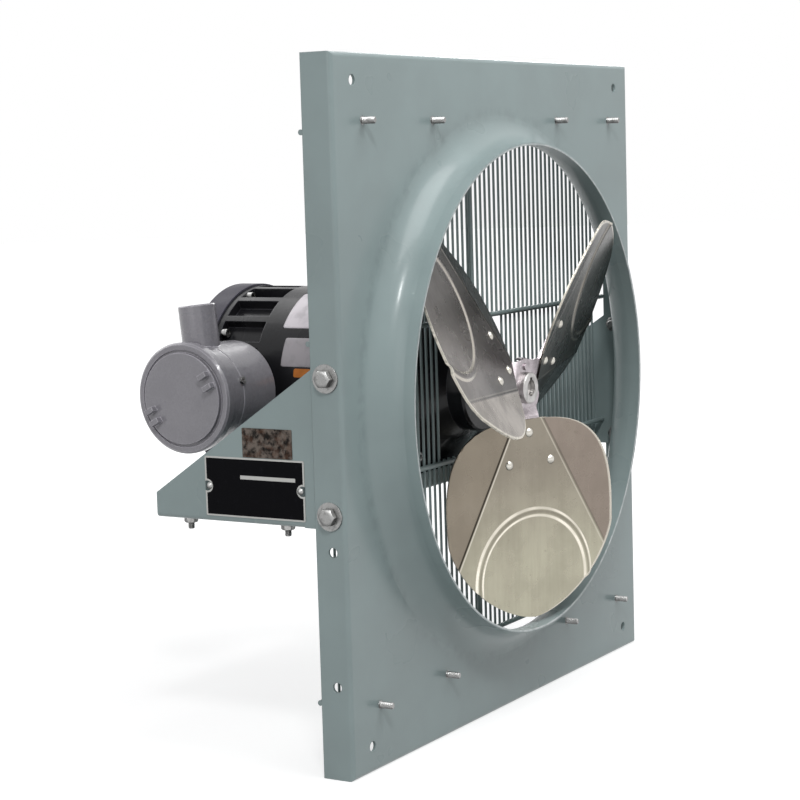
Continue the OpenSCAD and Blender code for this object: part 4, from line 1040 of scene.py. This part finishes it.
class FAN_OT_labels(FanOperator, bpy.types.Operator):
    """Makes the bare labels on the motor's left side"""

    bl_idname = "fan.labels"
    bl_label = "Motor labels"

    def execute(self, context):
        c = context.scene.fan_colours
        paper = paper_label("bare_label", tuple(c.label))
        grey = paper_label("bare_grey_label", tint(tuple(c.label), 0.55))
        orange = paper_label("bare_orange_label", tuple(c.orange))
        barrel, corner, thickness = 98.15, 2, 0.25
        rows = (
            ("motor_label_upper", 38.5, 70, 140, 207, paper),
            ("motor_label_lower", 14.5, 32, 142, 199, grey),
            ("motor_label_small", 8.5, 13.5, 162, 183, orange),
        )
        for name, low, high, front, rear, finish in rows:
            strip = strip_on_barrel(barrel, low, high, front, rear, corner)
            piece = add_piece(name, *strip, finish.material)
            sheet = piece.modifiers.new("paper", "SOLIDIFY")
            sheet.thickness = thickness * MM
            sheet.offset = 0
            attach(piece, "fan_frame")
        return {"FINISHED"}


class FAN_OT_conduit_thread(FanOperator, bpy.types.Operator):
    """Makes the thread in the conduit box's hub"""

    bl_idname = "fan.conduit_thread"
    bl_label = "Conduit thread"

    def execute(self, context):
        pitch, depth, outer, length = 1.81, 0.7, 12.35, 36.0
        hub_foot, hub_length, hub_lean = (-160, 241.5, 3.2), 87.0, -6
        rows = [(0.0, outer, "round"), (-length, outer, "round"), (-length, outer - 0.25, "round")]
        rows += threaded(0.2 - length, -1.4, outer - 0.15, pitch) + [(-0.4, outer - 0.1, "round")]
        points, faces = turned(rows, 64, 0, pitch, depth, closed=True)
        lean = turn("X", hub_lean)
        top = np.array(hub_foot) + lean @ (0, 0, hub_length)
        piece = add_piece("conduit_thread", at(points, lean, top), faces, finish_named("box_grey"))
        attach(piece, "fan_frame")
        return {"FINISHED"}


class FAN_OT_stage(FanOperator, bpy.types.Operator):
    """Makes the floor, the soft studio light and the camera"""

    bl_idname = "fan.stage"
    bl_label = "Stage"

    def execute(self, context):
        scene = context.scene
        self.floor(scene)
        self.world(scene)
        self.lamp(scene, "key", azimuth=-58, elevation=42, distance=3.2, width=0.4, power=29)
        self.lamp(scene, "overhead", azimuth=0, elevation=62, distance=1.6, width=1.2, power=17)
        self.lamp(scene, "rear_rim", azimuth=112, elevation=24, distance=3.0, width=0.5, power=10)
        self.lamp(scene, "left_fill", azimuth=-100, elevation=18, distance=3.4, width=2.0, power=17)
        self.lamp(scene, "back_fill", azimuth=168, elevation=38, distance=3.2, width=2.0, power=24)
        self.camera(scene)
        scene.view_settings.view_transform = "Standard"
        return {"FINISHED"}

    @staticmethod
    def direction(azimuth, elevation):
        """Direction from the object out to a place round it: azimuth 0 is in front and 90 on the right."""
        a, e = math.radians(azimuth), math.radians(elevation)
        return Vector((math.sin(a) * math.cos(e), -math.cos(a) * math.cos(e), math.sin(e)))

    def floor(self, scene):
        """A pale floor under the panel's lower rim, as a grid of rings whose radius grows as a square."""
        rings, columns, reach, innermost = 24, 96, 14000, 0.02
        radius = reach * np.linspace(innermost, 1, rings)[:, None] ** 2
        angle = np.linspace(0, 2 * np.pi, columns, endpoint=False)[None, :]
        level = CAD_BOX[0].z / MM
        disc = np.broadcast_arrays(radius * np.cos(angle), radius * np.sin(angle), level)
        points = np.stack(disc, -1).reshape(-1, 3)
        faces = grid_faces(rings, columns, closed=True).tolist() + [list(range(columns))]
        finish = studio_white(scene.fan_colours)
        self.show_white(finish)
        add_piece("studio_floor", points, faces, finish.material)

    @staticmethod
    def show_white(finish):
        """Adds light to what the camera and reflections see of the floor, which keeps the object's shadow."""
        near, far = (200, (0.66, 0.66, 0.66)), (2200, (0.92, 0.92, 0.92))
        path = finish.node("ShaderNodeLightPath")
        seen = Value(finish, path.outputs["Is Camera Ray"])
        seen = seen.most(Value(finish, path.outputs["Is Glossy Ray"]))
        seen = seen.most(Value(finish, path.outputs["Is Transmission Ray"]))
        x, y = finish.axis("X"), finish.axis("Y")
        away = ((x * x + y * y) ** 0.5).ramp(near[0], far[0])
        glow = finish.node("ShaderNodeEmission", None, finish.blend(away, near[1], far[1]), 1.0)
        both = finish.node("ShaderNodeAddShader", None, finish.shader.outputs[0], glow.outputs[0])
        mixed = finish.node("ShaderNodeMixShader", None, seen, finish.shader.outputs[0], both.outputs[0])
        finish.tree.links.new(mixed.outputs[0], finish.output.inputs[0])

    @staticmethod
    def world(scene):
        """White where the camera or a reflection sees it, and a plain soft light elsewhere."""
        world = bpy.data.worlds.new("studio")
        scene.world = world
        world.use_nodes = True
        tree = world.node_tree
        tree.nodes.clear()
        output = tree.nodes.new("ShaderNodeOutputWorld")
        path = tree.nodes.new("ShaderNodeLightPath")
        glossy, seen = (tree.nodes.new("ShaderNodeMath") for _ in range(2))
        glossy.operation = seen.operation = "MAXIMUM"
        light, white = (tree.nodes.new("ShaderNodeBackground") for _ in range(2))
        mixer = tree.nodes.new("ShaderNodeMixShader")
        for shade, tone, strength in ((light, (0.95, 0.97, 1.0, 1), 0.25), (white, (1, 1, 1, 1), 1.0)):
            shade.inputs["Color"].default_value = tone
            shade.inputs["Strength"].default_value = strength
        links = (
            (path.outputs["Is Glossy Ray"], glossy.inputs[0]),
            (path.outputs["Is Transmission Ray"], glossy.inputs[1]),
            (path.outputs["Is Camera Ray"], seen.inputs[0]),
            (glossy.outputs[0], seen.inputs[1]),
            (seen.outputs[0], mixer.inputs[0]),
            (light.outputs[0], mixer.inputs[1]),
            (white.outputs[0], mixer.inputs[2]),
            (mixer.outputs[0], output.inputs[0]),
        )
        for source, target in links:
            tree.links.new(source, target)

    def lamp(self, scene, name, azimuth, elevation, distance, width, power):
        """A square soft light that faces the fan."""
        data = bpy.data.lights.new(name, "AREA")
        data.size = width
        data.energy = power
        lamp = bpy.data.objects.new(name, data)
        away = self.direction(azimuth, elevation)
        lamp.location = away * distance
        lamp.rotation_euler = away.to_track_quat("Z", "Y").to_euler()
        scene.collection.objects.link(lamp)

    def camera(self, scene):
        """The photograph's camera, solved from the panel's corners and holes."""
        data = bpy.data.cameras.new("photo_camera")
        data.sensor_width = 36
        data.lens = 94.545
        data.clip_start, data.clip_end = 0.1, 100
        camera = bpy.data.objects.new("photo_camera", data)
        back = self.direction(azimuth=-58.83, elevation=6.527)
        right = (-back).cross(Vector((0, 0, 1))).normalized()
        up = right.cross(-back)
        roll = math.radians(-1.704)
        across = right * math.cos(roll) + up * math.sin(roll)
        upward = up * math.cos(roll) - right * math.sin(roll)
        axes = Matrix((across, upward, back)).transposed()
        place = Vector((-1.8039, -0.9716, 0.2244))
        camera.matrix_world = Matrix.Translation(place) @ axes.to_4x4()
        scene.collection.objects.link(camera)
        scene.camera = camera


class FAN_PT_sidebar(bpy.types.Panel):
    """The fan's sizes and operators in the 3D view's sidebar"""

    bl_idname = "FAN_PT_sidebar"
    bl_label = "Exhaust fan"
    bl_space_type = "VIEW_3D"
    bl_region_type = "UI"
    bl_category = "Fan"

    def draw(self, context):
        for group in (context.scene.fan_blades, context.scene.fan_fasteners, context.scene.fan_colours):
            box = self.layout.box()
            for name in group.bl_rna.properties.keys():
                if name not in ("rna_type", "name"):
                    box.prop(group, name)
        for operator in OPERATORS:
            self.layout.operator(operator.bl_idname)


GROUPS = {"fan_blades": BladeSizes, "fan_fasteners": FastenerSizes, "fan_colours": FanColours}
OPERATORS = (
    FAN_OT_finishes, FAN_OT_blades, FAN_OT_studs, FAN_OT_bolts, FAN_OT_labels, FAN_OT_conduit_thread,
    FAN_OT_stage,
)


def register():
    """Registers the classes and the scene's properties."""
    for cls in (*GROUPS.values(), *OPERATORS, FAN_PT_sidebar):
        bpy.utils.register_class(cls)
    for name, group in GROUPS.items():
        setattr(bpy.types.Scene, name, PointerProperty(type=group))


def unregister():
    """Takes back what register did."""
    for name in GROUPS:
        delattr(bpy.types.Scene, name)
    for cls in (FAN_PT_sidebar, *reversed(OPERATORS), *GROUPS.values()):
        bpy.utils.unregister_class(cls)


def main():
    """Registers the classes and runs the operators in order."""
    register()
    for operator in OPERATORS:
        group, name = operator.bl_idname.split(".")
        getattr(getattr(bpy.ops, group), name)()


if __name__ == "__main__":
    main()
